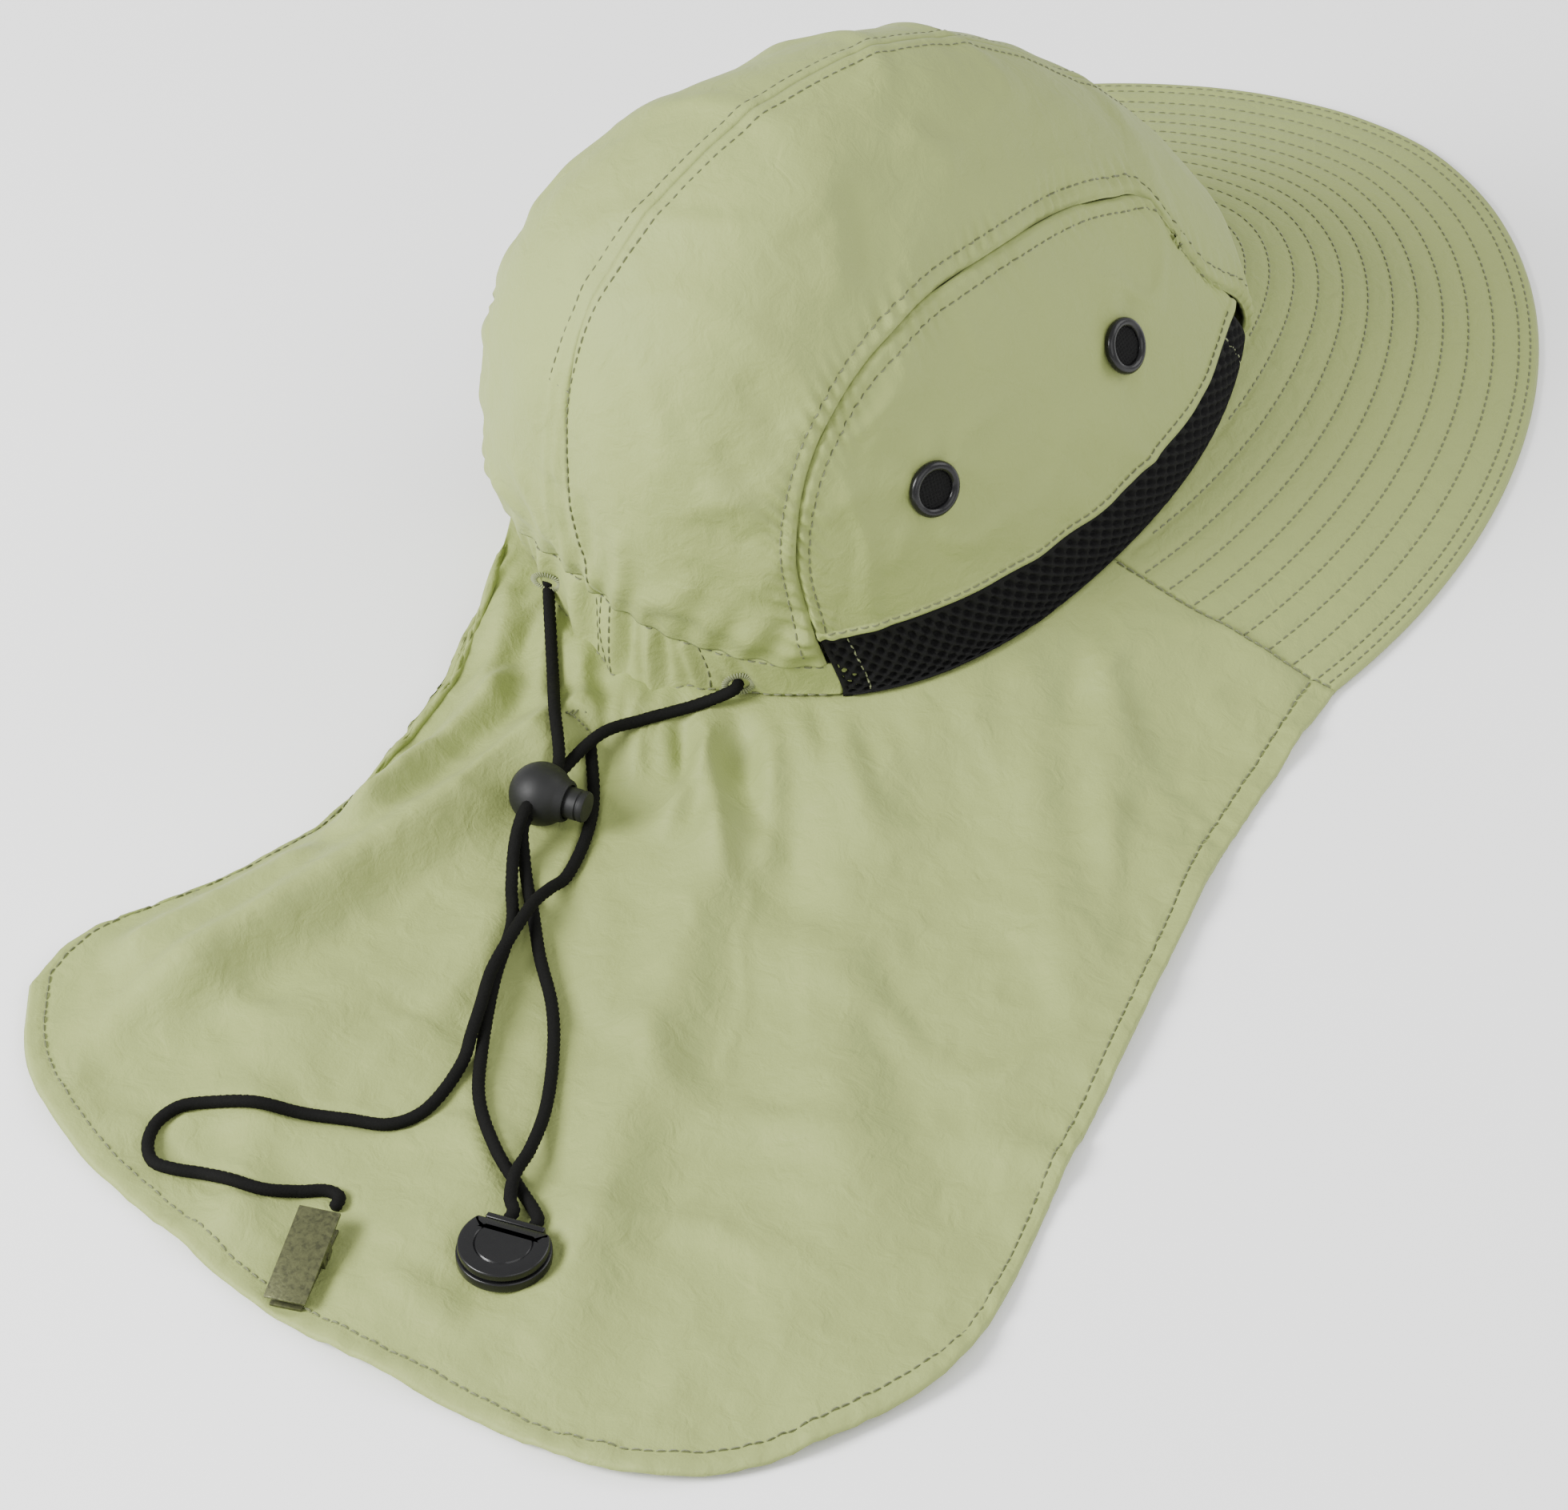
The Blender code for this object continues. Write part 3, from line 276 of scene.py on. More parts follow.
# Sharper creases of the flap, in metres on the floor
FLAP_CREASES = (
    # from x, from y, to x, to y, width, height
    (-0.095, -0.035, -0.128, -0.083, 0.0032, 0.0028),
    (-0.090, -0.044, -0.114, -0.082, 0.0040, -0.0024),
    (-0.098, -0.031, -0.116, -0.056, 0.0028, -0.0022),
    (-0.100, -0.050, -0.122, -0.108, 0.0080, -0.0026),
    (-0.103, -0.024, -0.122, -0.044, 0.0026, 0.0024),
    (-0.107, -0.016, -0.126, -0.036, 0.0026, -0.0020),
    (-0.106, 0.004, -0.124, -0.012, 0.0030, 0.0024),
    (-0.106, 0.012, -0.128, -0.004, 0.0030, -0.0020),
    (-0.104, 0.022, -0.130, 0.004, 0.0034, 0.0022),
    (-0.108, -0.008, -0.122, -0.024, 0.0026, 0.0020),
    (-0.080, -0.060, -0.096, -0.110, 0.0070, 0.0016),
    (-0.124, -0.014, -0.191, -0.010, 0.0060, 0.0026),
    (-0.185, -0.010, -0.251, -0.016, 0.0080, 0.0020),
    (-0.128, -0.003, -0.195, -0.001, 0.0065, -0.0018),
    (-0.130, 0.006, -0.175, 0.012, 0.0050, 0.0016),
    (-0.116, -0.110, -0.140, -0.170, 0.0100, -0.0018),
    (-0.140, -0.166, -0.166, -0.214, 0.0110, -0.0015),
    (-0.001, -0.070, -0.034, -0.101, 0.0040, -0.0012),
    (-0.013, -0.084, -0.032, -0.124, 0.0040, 0.0011),
    (-0.043, -0.130, -0.025, -0.132, 0.0030, -0.0010),
    (-0.004, -0.115, -0.004, -0.137, 0.0036, 0.0009),
    (-0.047, -0.129, -0.079, -0.162, 0.0036, 0.0008),
    (-0.212, -0.057, -0.203, -0.083, 0.0036, -0.0009),
    (-0.221, -0.071, -0.239, -0.081, 0.0030, 0.0008),
    (-0.272, -0.091, -0.274, -0.056, 0.0036, 0.0008),
    (-0.266, -0.126, -0.266, -0.152, 0.0032, 0.0009),
    (-0.258, -0.122, -0.256, -0.150, 0.0032, -0.0007),
    (-0.191, -0.098, -0.225, -0.154, 0.0080, 0.0009),
    (-0.150, -0.135, -0.192, -0.197, 0.0090, 0.0008),
    (-0.215, -0.050, -0.245, -0.050, 0.0070, 0.0010),
    (-0.230, -0.110, -0.268, -0.090, 0.0060, -0.0008),
)


def read_table(rows, at, column=1):
    """Smooth values of a table's column, with the first column rising."""
    table = np.array(rows)
    x, y = table[:, 0], table[:, column]
    at = np.clip(at, x[0], x[-1])
    k = np.clip(np.searchsorted(x, at) - 1, 0, len(x) - 2)
    before, after = np.maximum(k - 1, 0), np.minimum(k + 2, len(x) - 1)
    span = x[k + 1] - x[k]
    share = (at - x[k]) / span
    low = (y[k + 1] - y[before]) / (x[k + 1] - x[before]) * span
    high = (y[after] - y[k]) / (x[after] - x[k]) * span
    a, b = share * share * (3 - 2 * share), share * (1 - share)
    return y[k] * (1 - a) + y[k + 1] * a + b * (low * (1 - share) - high * share)


def ease(x):
    x = np.clip(x, 0.0, 1.0)
    return x * x * (3 - 2 * x)


def bump(x, width):
    return np.exp(-(x / width) ** 2)


def from_back(degrees):
    return np.abs((degrees + 360.0) % 360.0 - 180.0)


def rim_height(degrees):
    return RIM_HEIGHT * read_table(RIM_RISE, 180.0 - from_back(degrees))


def rim_point(degrees):
    a = np.radians(degrees)
    c, s = np.cos(a), np.sin(a)
    k = (np.abs(c) ** RIM_POWER + np.abs(s) ** RIM_POWER) ** (-1 / RIM_POWER)
    return RIM_LENGTH / 2 * c * k, RIM_WIDTH / 2 * s * k * (1 - EGG * c)


def tuck_at(degrees):
    return TUCK * np.exp(-(from_back(degrees) / TUCK_SPREAD) ** 2)


def crown_point(degrees, up):
    """Points on the crown's outer face: up is 0 at the rim and 1 at the top."""
    turned = degrees + SWAY * np.exp(-(from_back(degrees) / SWAY_SPREAD) ** 2) * (1 - up) ** 2
    a, sweep = np.radians(turned), math.radians(PROFILE_SWEEP)
    angle = sweep * (1 - up)
    rise = np.maximum((np.cos(angle) - math.cos(sweep)) / (1 - math.cos(sweep)), 0.0)
    low = rim_height(turned)
    height = (CROWN_TOP - low) * rise ** (RISE_POWER * (1 + RISE_SIDE * np.cos(2 * a)))
    x, y = rim_point(turned)
    tuck = 1 - tuck_at(turned) * np.maximum(1 - 3 * rise, 0.0) ** 2
    wide = np.sin(angle) / math.sin(sweep) * tuck
    wide = wide * (1 + FRONT_FULL * np.cos(a) * np.sin(math.pi * rise))
    lean = LEAN * height + BELLY * 4 * height * (1 - height / (CROWN_TOP - low))
    return np.stack([x * wide + lean, y * wide, low + height], axis=-1)


def up_at(degrees, width):
    """How far up the crown a strip of this width reaches, measured on the cloth."""
    around, shares = np.arange(-180.0, 181.0, 2.0), np.linspace(0.0, 0.5, 61)
    spots = crown_point(around[:, None], shares[None, :])
    steps = np.linalg.norm(np.diff(spots, axis=1), axis=2)
    run = np.concatenate([np.zeros((len(around), 1)), np.cumsum(steps, axis=1)], axis=1)
    reach = [np.interp(width, row, shares) for row in run]
    return np.interp((degrees + 180.0) % 360.0 - 180.0, around, reach)


BACK_TOP = float(up_at(180.0, BACK_BAND_WIDTH))


def from_disc(along, out):
    p, q = along * np.sqrt(np.maximum(1 - out * out, 0.0)), out
    degrees = np.degrees(np.arctan2(q, p))
    radius = np.minimum(np.hypot(p, q), 1.0)
    low = BACK_TOP * ease((FLOOR_END - from_back(degrees)) / FLOOR_SPREAD)
    return degrees, low + (1 - low) * (1 - radius)


def arc_point(along):
    return from_disc(along, read_table(ARC_SEAM, along))


def brim_limit(degrees):
    a = np.radians(degrees)
    long, wide = RIM_LENGTH / 2 + BRIM_FRONT - BRIM_SHIFT, RIM_WIDTH / 2 + BRIM_SIDE
    low, high = np.zeros_like(a), np.full_like(a, 2 * long)
    for _ in range(40):
        mid = (low + high) / 2
        x = np.abs(mid * np.cos(a) - BRIM_SHIFT) / long
        y = np.abs(mid * np.sin(a)) / wide
        inside = x ** BRIM_POWER + y ** BRIM_POWER < 1
        low, high = np.where(inside, mid, low), np.where(inside, high, mid)
    return low


def polar_angle(degrees):
    x, y = rim_point(degrees)
    return np.degrees(np.arctan2(y, x))


RIM_ANGLES = np.arange(0.0, 180.1, 0.5)
RIM_DIRECTIONS = polar_angle(RIM_ANGLES)


def rim_angle(direction):
    return np.sign(direction) * np.interp(np.abs(direction), RIM_DIRECTIONS, RIM_ANGLES)


def rim_reach(degrees):
    return np.hypot(*rim_point(degrees)) * (1 - tuck_at(degrees))


def ridges(x, y, rows):
    """Sum of soft ridges: each row is a line from x, y to x, y, its width and its height."""
    total = np.zeros_like(x)
    for x0, y0, x1, y1, width, height in rows:
        dx, dy = x1 - x0, y1 - y0
        along = ((x - x0) * dx + (y - y0) * dy) / (dx * dx + dy * dy)
        across = np.abs((x - x0) * dy - (y - y0) * dx) / math.hypot(dx, dy)
        fade = ease((along + 0.15) / 0.3) * ease((1.15 - along) / 0.3)
        total += height * fade * np.exp(-(across / width) ** 2)
    return total


def fold_rows():
    reach = RIM_LENGTH / 2 + FLAP_LENGTH
    return [(-back0 * reach, side0 * FLAP_RIGHT, -back1 * reach, side1 * FLAP_RIGHT,
             width * reach, height * FOLD_HEIGHT)
            for back0, side0, back1, side1, width, height in FOLDS]


def skirt_height(x, y, thick):
    """Top face of the brim and the flap: high at the rim, falling to the floor."""
    x, y = np.atleast_1d(x).astype(float), np.atleast_1d(y).astype(float)
    direction = np.degrees(np.arctan2(y, x))
    degrees = rim_angle(direction)
    distance = np.hypot(x, y) - rim_reach(degrees)
    around = 180.0 - from_back(degrees)
    front = ease((BRIM_END + BRIM_BLEND - around) / BRIM_BLEND)
    fall = front * (brim_limit(direction) - rim_reach(degrees)) + (1 - front) * FLAP_FALL
    share = np.clip(distance / fall, 0.0, 1.0)
    top = rim_height(degrees) - 3 * SEAT_GAP
    height = thick + BRIM_EDGE_LIFT + (top - thick) * (1 - share) ** (1.9 - 0.65 * front)
    settle = ease(distance / (0.5 * FLAP_FALL)) * (1 - front) * (around > BRIM_END - 1)
    height = height + ridges(x, y, fold_rows()) * settle
    gather = 1 + 0.8 * np.sin(np.radians(degrees) * 5 * GATHERS / 2)
    near = ease(distance / GATHER_START) * np.exp(-np.maximum(distance, 0.0) / GATHER_REACH)
    height = height + gather * FLAP_GATHER * (1 - front) * near * (around > BRIM_END - 1)
    return np.where(distance < GATHER_FREE, np.minimum(height, top), height)


def inner_point(degrees):
    reach = rim_reach(degrees) - 1.6 * MESH_THICK
    a = np.radians(polar_angle(degrees))
    return reach * np.cos(a), reach * np.sin(a)


def hem_point(degrees):
    reach = RIM_LENGTH / 2 + FLAP_LENGTH
    side = read_table(HEM, degrees, 2)
    return (-read_table(HEM, degrees, 1) * reach,
            side * np.where(side < 0, FLAP_RIGHT, FLAP_LEFT))


def bowed(x, degrees):
    share = np.clip((-x - BOW_NEAR) / (BOW_FAR - BOW_NEAR), 0.0, 1.0)
    return FLAP_BOW * np.sin(math.pi * share) ** 2 * ease((degrees - BOW_START) / BOW_BLEND)


def cloud(spots, scale, seed):
    """Smooth noise at each spot, from -1 to 1."""
    shift = Vector((seed * 7.3, seed * 3.1, seed * 5.7))
    return np.array([noise.noise(Vector(spot) * scale + shift) for spot in spots.tolist()])


def drape(spots, scale, broad, crease, seed):
    """Loose cloth: broad swells and soft creases, in metres."""
    swells = cloud(spots, scale, seed) + 0.4 * cloud(spots, 2.7 * scale, seed + 1)
    crests = 1 - np.abs(cloud(spots + 0.006 * swells[:, None], 1.7 * scale, seed + 2))
    return broad * swells + crease * ease((crests - 0.70) / 0.30)


def ripple(run, pitch, seed):
    """Uneven gathers along a seam, from -1 to 1, for a length run along it."""
    wander = np.sin(run / pitch * 0.61 + seed) + 0.7 * np.sin(run / pitch * 0.27 + 2.1 * seed)
    return np.sin(2 * math.pi * run / pitch + 1.6 * wander) * (0.65 + 0.35 * np.sin(
        run / pitch * 0.9 + 4 * seed))


def hexes(across, along, pitch_across, pitch_along):
    """1 in the middle of each opening of a honeycomb mesh and 0 on its strands."""
    def cell(shift):
        a = (across / pitch_across + shift + 0.5) % 1.0 - 0.5
        b = (along / pitch_along + shift + 0.5) % 1.0 - 0.5
        return np.hypot(a, b)
    near = np.minimum(cell(0.0), cell(0.5))
    return ease((0.315 - near) / 0.13)


class Wire:
    """A node's output, so that shader maths reads as Python sums."""

    def __init__(self, tree, socket=None):
        self.tree, self.socket = tree, socket

    def node(self, kind, settings=None, feeds=None, out=0):
        made = self.tree.nodes.new(kind)
        for name, value in (settings or {}).items():
            if name == "stops":
                ramp = made.color_ramp
                while len(ramp.elements) < len(value):
                    ramp.elements.new(0.5)
                for element, (at, colour) in zip(ramp.elements, value):
                    element.position, element.color = at, (*colour, 1.0)
            else:
                setattr(made, name, value)
        for name, value in (feeds or {}).items():
            if isinstance(value, Wire):
                self.tree.links.new(value.socket, made.inputs[name])
            else:
                made.inputs[name].default_value = value
        return Wire(self.tree, made.outputs[out])

    def maths(self, operation, *values):
        return self.node("ShaderNodeMath", {"operation": operation}, dict(enumerate(values)))

    def __add__(self, other):
        return self.maths("ADD", self, other)

    __radd__ = __add__

    def __mul__(self, other):
        return self.maths("MULTIPLY", self, other)

    __rmul__ = __mul__

    def __sub__(self, other):
        return self.maths("SUBTRACT", self, other)

    def __rsub__(self, other):
        return self.maths("SUBTRACT", other, self)

    def mix(self, one, two):
        return self.node("ShaderNodeMix", {"data_type": "RGBA"},
                         {0: self, 6: (*one, 1.0), 7: (*two, 1.0)}, out=2)


def finish(name, roughness, metallic=0.0, coat=0.0, sheen=0.0, specular=0.5):
    """A new material: its shader, a wire to start sums from and its object coordinates."""
    made = bpy.data.materials.new(name)
    made.use_nodes = True
    shader = made.node_tree.nodes["Principled BSDF"]
    shader.inputs["Roughness"].default_value = roughness
    shader.inputs["Metallic"].default_value = metallic
    shader.inputs["Coat Weight"].default_value = coat
    shader.inputs["Sheen Weight"].default_value = sheen
    shader.inputs["Specular IOR Level"].default_value = specular
    wire = Wire(made.node_tree)
    spots = wire.node("ShaderNodeTexCoord", out=3)
    return made, shader, wire, spots


def feed(shader, name, wire):
    wire.tree.links.new(wire.socket, shader.inputs[name])


def rough_noise(wire, spots, scale, detail=3.0, distortion=0.0):
    return wire.node("ShaderNodeTexNoise", None, {
        "Vector": spots, "Scale": scale, "Detail": detail, "Distortion": distortion})


def press(wire, shader, height, distance, strength=1.0):
    raised = wire.node("ShaderNodeBump", None, {
        "Height": height, "Distance": distance, "Strength": strength})
    feed(shader, "Normal", raised)


def shade(colour, share):
    return tuple(c * share for c in colour)


def cloth_finish(name, colour):
    """Light woven nylon: tiny crinkles, a fine weave and slightly uneven colour."""
    made, shader, wire, spots = finish(name, 0.72, sheen=0.04)
    patches = rough_noise(wire, spots, 26.0, 2.0)
    feed(shader, "Base Color", patches.mix(shade(colour, 0.94), shade(colour, 1.05)))
    crinkle = rough_noise(wire, spots, 150.0, 4.0, 0.8)
    grain = rough_noise(wire, spots, 1500.0, 2.0)
    press(wire, shader, crinkle * 0.75 + grain * 0.10, 0.0012, 0.75)
    feed(shader, "Roughness", 0.62 + 0.2 * patches)
    return made


def thread_finish(name, colour):
    made, shader, wire, spots = finish(name, 0.6, sheen=0.2)
    twist = rough_noise(wire, spots, 2400.0, 2.0)
    feed(shader, "Base Color", twist.mix(shade(colour, 0.8), shade(colour, 1.15)))
    press(wire, shader, twist, 0.0001, 0.5)
    return made


def net_finish(name, colour):
    """Black knitted yarn, hairy at close range."""
    made, shader, wire, spots = finish(name, 0.85, specular=0.12)
    hairs = rough_noise(wire, spots, 2600.0, 3.0, 1.5)
    feed(shader, "Base Color", hairs.mix(shade(colour, 0.6), shade(colour, 1.6)))
    press(wire, shader, hairs, 0.0003, 0.8)
    return made


def braid_finish(name, colour):
    made, shader, wire, spots = finish(name, 0.85, specular=0.12)
    fibres = rough_noise(wire, spots, 2200.0, 3.0, 1.0)
    feed(shader, "Base Color", fibres.mix(shade(colour, 0.5), shade(colour, 1.5)))
    press(wire, shader, fibres, 0.0002, 0.6)
    return made


def plastic_finish(name, colour, roughness, coat, specular):
    made, shader, wire, spots = finish(name, roughness, coat=coat, specular=specular)
    mould = rough_noise(wire, spots, 700.0, 2.0)
    feed(shader, "Roughness", roughness + 0.12 * (mould - 0.5))
    feed(shader, "Base Color", mould.mix(shade(colour, 0.9), shade(colour, 1.15)))
    press(wire, shader, mould, 0.00004, 0.3)
    return made


def brass_finish(name, colour):
    """Antiqued brass: bright where it is rubbed, dark and rough in the patina."""
    made, shader, wire, spots = finish(name, 0.4, metallic=0.75)
    clouds = rough_noise(wire, spots, 760.0, 5.0, 0.6)
    specks = rough_noise(wire, spots, 1700.0, 2.0)
    age = clouds * 0.75 + specks * 0.25
    ramp = wire.node("ShaderNodeValToRGB", {"stops": (
        (0.36, shade(colour, 0.45)), (0.52, shade(colour, 0.95)), (0.70, shade(colour, 1.5)))},
        {0: age})
    feed(shader, "Base Color", ramp)
    feed(shader, "Roughness", 0.72 - 0.55 * age)
    feed(shader, "Metallic", 0.35 + 0.7 * age)
    press(wire, shader, age, 0.0002, 0.5)
    return made


def add_piece(name, bm, material, body="hat", smooth=True):
    mesh = bpy.data.meshes.new(name)
    bm.to_mesh(mesh)
    bm.free()
    if smooth:
        mesh.shade_smooth()
    made = bpy.data.objects.new(name, mesh)
    made.data.materials.append(material)
    bpy.context.scene.collection.objects.link(made)
    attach(made, body)
    return made


def grid_verts(columns, rows):
    bm = bmesh.new()
    u, v, _ = more_grid(bm, columns, rows)
    return bm, u, v


def normals_of(place, u, v, step=0.002):
    """Unit normals of a surface, from its places a little to each side."""
    across = place(np.clip(u + step, 0, 1), v) - place(np.clip(u - step, 0, 1), v)
    along = place(u, np.clip(v + step, 0, 1)) - place(u, np.clip(v - step, 0, 1))
    normal = np.cross(across, along)
    return normal / np.maximum(np.linalg.norm(normal, axis=1, keepdims=True), 1e-12)


def lay(bm, spots):
    for vert, spot in zip(bm.verts, spots.tolist()):
        vert.co = spot


def wall(bm, way):
    """Merges a sheet's doubles and turns its faces the way that the test gives."""
    bmesh.ops.remove_doubles(bm, verts=bm.verts, dist=0.00001)
    bmesh.ops.recalc_face_normals(bm, faces=bm.faces)
    if sum(way(face.calc_center_median()).dot(face.normal) for face in bm.faces) < 0:
        bmesh.ops.reverse_faces(bm, faces=bm.faces)


def from_core(spot):
    return spot - Vector((-0.03, 0.0, 0.03))


def upwards(spot):
    return Vector((0.0, 0.0, 1.0))


def thicken(piece, thick):
    change = piece.modifiers.new("wall", "SOLIDIFY")
    change.thickness = thick
    change.offset = -1.0


def stitch(bm, spots, normals, sizes):
    """Sews a row: a thread that shows on top for a stitch and dips into the cloth between."""
    steps = np.linalg.norm(np.diff(spots, axis=0), axis=1)
    run = np.concatenate([[0.0], np.cumsum(steps)])
    count = max(int(run[-1] / sizes.stitch_pitch), 1)
    u, v, verts = more_grid(bm, 5, 6 * count)
    at = v * run[-1]
    line = np.stack([np.interp(at, run, spots[:, i]) for i in range(3)], axis=1)
    up = np.stack([np.interp(at, run, normals[:, i]) for i in range(3)], axis=1)
    ahead = np.stack([np.interp(at, run, np.gradient(spots[:, i])) for i in range(3)], axis=1)
    side = np.cross(up, ahead)
    side /= np.linalg.norm(side, axis=1, keepdims=True)
    gap = 1 - sizes.stitch_length / sizes.stitch_pitch
    share = np.abs((v * count + 0.5) % 1.0 - 0.5) / (gap / 2 + 0.12)
    width = sizes.thread_width
    lift = width * 0.22 - 2.2 * width * (1 - ease(share))
    turn = 2 * math.pi * u
    spots = line + up * (lift + 0.42 * width * np.cos(turn))[:, None] \
        + side * (0.5 * width * np.sin(turn))[:, None]
    for vert, spot in zip(verts, spots.tolist()):
        vert.co = spot


def more_grid(bm, columns, rows):
    """A further grid in the same mesh: its shares across and along, and its points."""
    verts = bmesh.ops.create_grid(bm, x_segments=columns, y_segments=rows, size=0.5)["verts"]
    flat = np.array([vert.co[:2] for vert in verts]) + 0.5
    return flat[:, 0], flat[:, 1], verts


def thread(bm, a, b, up, width):
    """One stitch of thread from a to b, rounded, with its height along up."""
    x = (b - a).normalized()
    y = up.cross(x).normalized()
    place = Matrix((x, y, x.cross(y))).transposed().to_4x4()
    place.translation = (a + b) / 2 + up * width * 0.15
    size = Matrix.Diagonal(((b - a).length / 2, width / 2, width * 0.42, 1.0))
    bmesh.ops.create_uvsphere(bm, u_segments=6, v_segments=4, radius=1.0,
                              matrix=place @ size @ Matrix.Rotation(math.pi / 2, 4, "Y"))


def spun(name, profile, sides, material, place, body="hat", angle=35.0):
    """A turned piece from a profile of radius and height, about its own Z."""
    bm = bmesh.new()
    verts = [bm.verts.new((r, 0.0, z)) for r, z in profile]
    edges = [bm.edges.new(pair) for pair in zip(verts, verts[1:])]
    bmesh.ops.spin(bm, geom=verts + edges, cent=(0, 0, 0), axis=(0, 0, 1), dvec=(0, 0, 0),
                   angle=2 * math.pi, steps=sides, use_merge=True, use_duplicate=False)
    bmesh.ops.remove_doubles(bm, verts=bm.verts, dist=0.000005)
    bmesh.ops.recalc_face_normals(bm, faces=bm.faces)
    bmesh.ops.transform(bm, matrix=place, verts=bm.verts)
    made = add_piece(name, bm, material, body)
    made.data.set_sharp_from_angle(angle=math.radians(angle))
    return made


def placed(spot, turn, lift, reach):
    """Frame of a piece that lies on the flap's highest place within reach of a spot."""
    around = np.array([(reach * share * math.cos(a), reach * share * math.sin(a))
                       for share in (0.0, 0.5, 1.0) for a in (k * math.pi / 4 for k in range(8))])
    height = float(skirt_height(spot[0] + around[:, 0], spot[1] + around[:, 1], CLOTH).max())
    return Matrix.Translation((*spot, height + SEAT_GAP + lift)) @ \
        Matrix.Rotation(math.radians(turn), 4, "Z")


def smooth_route(points, step):
    """Evenly spaced points on a smooth curve through the chosen points."""
    curve = []
    for i in range(len(points) - 1):
        before, after = points[max(i - 1, 0)], points[min(i + 2, len(points) - 1)]
        here, then = points[i], points[i + 1]
        curve += interpolate_bezier(here, here + (then - before) / 6,
                                    then - (after - here) / 6, then, 12)[:-1]
    curve = np.array([tuple(p) for p in curve + [points[-1]]])
    run = np.concatenate([[0.0], np.cumsum(np.linalg.norm(np.diff(curve, axis=0), axis=1))])
    even = np.linspace(0.0, run[-1], max(int(run[-1] / step), 8))
    return np.stack([np.interp(even, run, curve[:, i]) for i in range(3)], axis=1), run[-1]


def crown_place(side):
    def place(u, v):
        along = -1 + 2 * u
        degrees, up = from_disc(along, read_table(ARC_SEAM, along) * v)
        return crown_point(side * degrees, up)
    return place


def seam_relief(distance, run, seed, height):
    """A puckered seam: a groove, gathers on each side of it and a row sunk beside it."""
    pucker = height * ripple(run, 0.0042, seed) * ease(distance / 0.0008)
    pucker *= 0.40 * bump(distance - 0.0022, 0.0022) + 0.65 * bump(distance - SEAM_ROW, 0.0050)
    groove = 0.0010 * bump(distance, 0.0009) + 0.00022 * bump(distance - SEAM_ROW, 0.0007)
    roll = 0.0003 * bump(distance - 0.0022, 0.0016)
    return pucker + roll - groove


def crown_creases(spots, side):
    """Depth of the crown's creases at each spot, for one side."""
    total = np.zeros(len(spots))
    for deg0, up0, deg1, up1, width, height in CROWN_CREASES:
        ends = crown_point(np.array([deg0, deg1]) * -side, np.array([up0, up1]))
        line = ends[1] - ends[0]
        along = (spots - ends[0]) @ line / (line @ line)
        nearest = ends[0] + np.clip(along, 0.0, 1.0)[:, None] * line
        away = np.linalg.norm(spots - nearest, axis=1)
        fade = ease((along + 0.3) / 0.5) * ease((1.3 - along) / 0.5)
        total += height * fade * bump(away, width)
    return total


def arc_run(side, samples=400):
    """Length along the curved seam for each share of the crown's disc."""
    u = np.linspace(0.0, 1.0, samples)
    spots = crown_place(side)(u, np.ones_like(u))
    return u, np.concatenate([[0.0], np.cumsum(np.linalg.norm(np.diff(spots, axis=0), axis=1))])


def crown_shape(side, sizes):
    """The crown panel's places with its seams, gathers and creases."""
    flat = crown_place(side)
    shares, run = arc_run(side)

    def place(u, v):
        spots = flat(u, v)
        normals = normals_of(flat, u, v) * side
        edge = flat(u, np.ones_like(u))
        from_seam = np.linalg.norm(spots - edge, axis=1)
        length = np.interp(u, shares, run)
        relief = seam_relief(from_seam, length, 1.3, sizes.pucker)
        middle = np.abs(spots[:, 1])
        relief += 0.0004 * ease((CENTRE_ROW + 0.0006 - middle) / 0.0012)
        relief -= 0.0002 * bump(middle - CENTRE_ROW, 0.0006) + 0.0003 * bump(middle, 0.0006)
        low = spots[:, 2] - rim_height(180.0) - 0.016
        behind = ease((-spots[:, 0] - 0.055) / 0.03) * bump(low, 0.012)
        relief += behind * 0.0011 * ripple(spots[:, 1] + 0.4 * low, 0.0085, 2.0)
        relief += drape(spots, 17.0, 0.0012, 0.0009, 3) + 0.0003 * cloud(spots, 120.0, 5)
        relief += crown_creases(spots, side)
        return spots + normals * relief[:, None]
    return place


def side_place(side):
    start, end = (-1 + 2 * step / PANEL_STEPS for step in PANEL_SPAN)
    end_angle = float(arc_point(np.array([end]))[0][0])

    def place(u, v):
        top_angle, top_up = arc_point(start + (end - start) * u)
        low_angle = BAND_BACK + (end_angle - BAND_BACK) * u
        low_up = up_at(low_angle, BAND_WIDTH)
        return crown_point(side * (low_angle + (top_angle - low_angle) * v),
                           low_up + (top_up - low_up) * v)
    return place


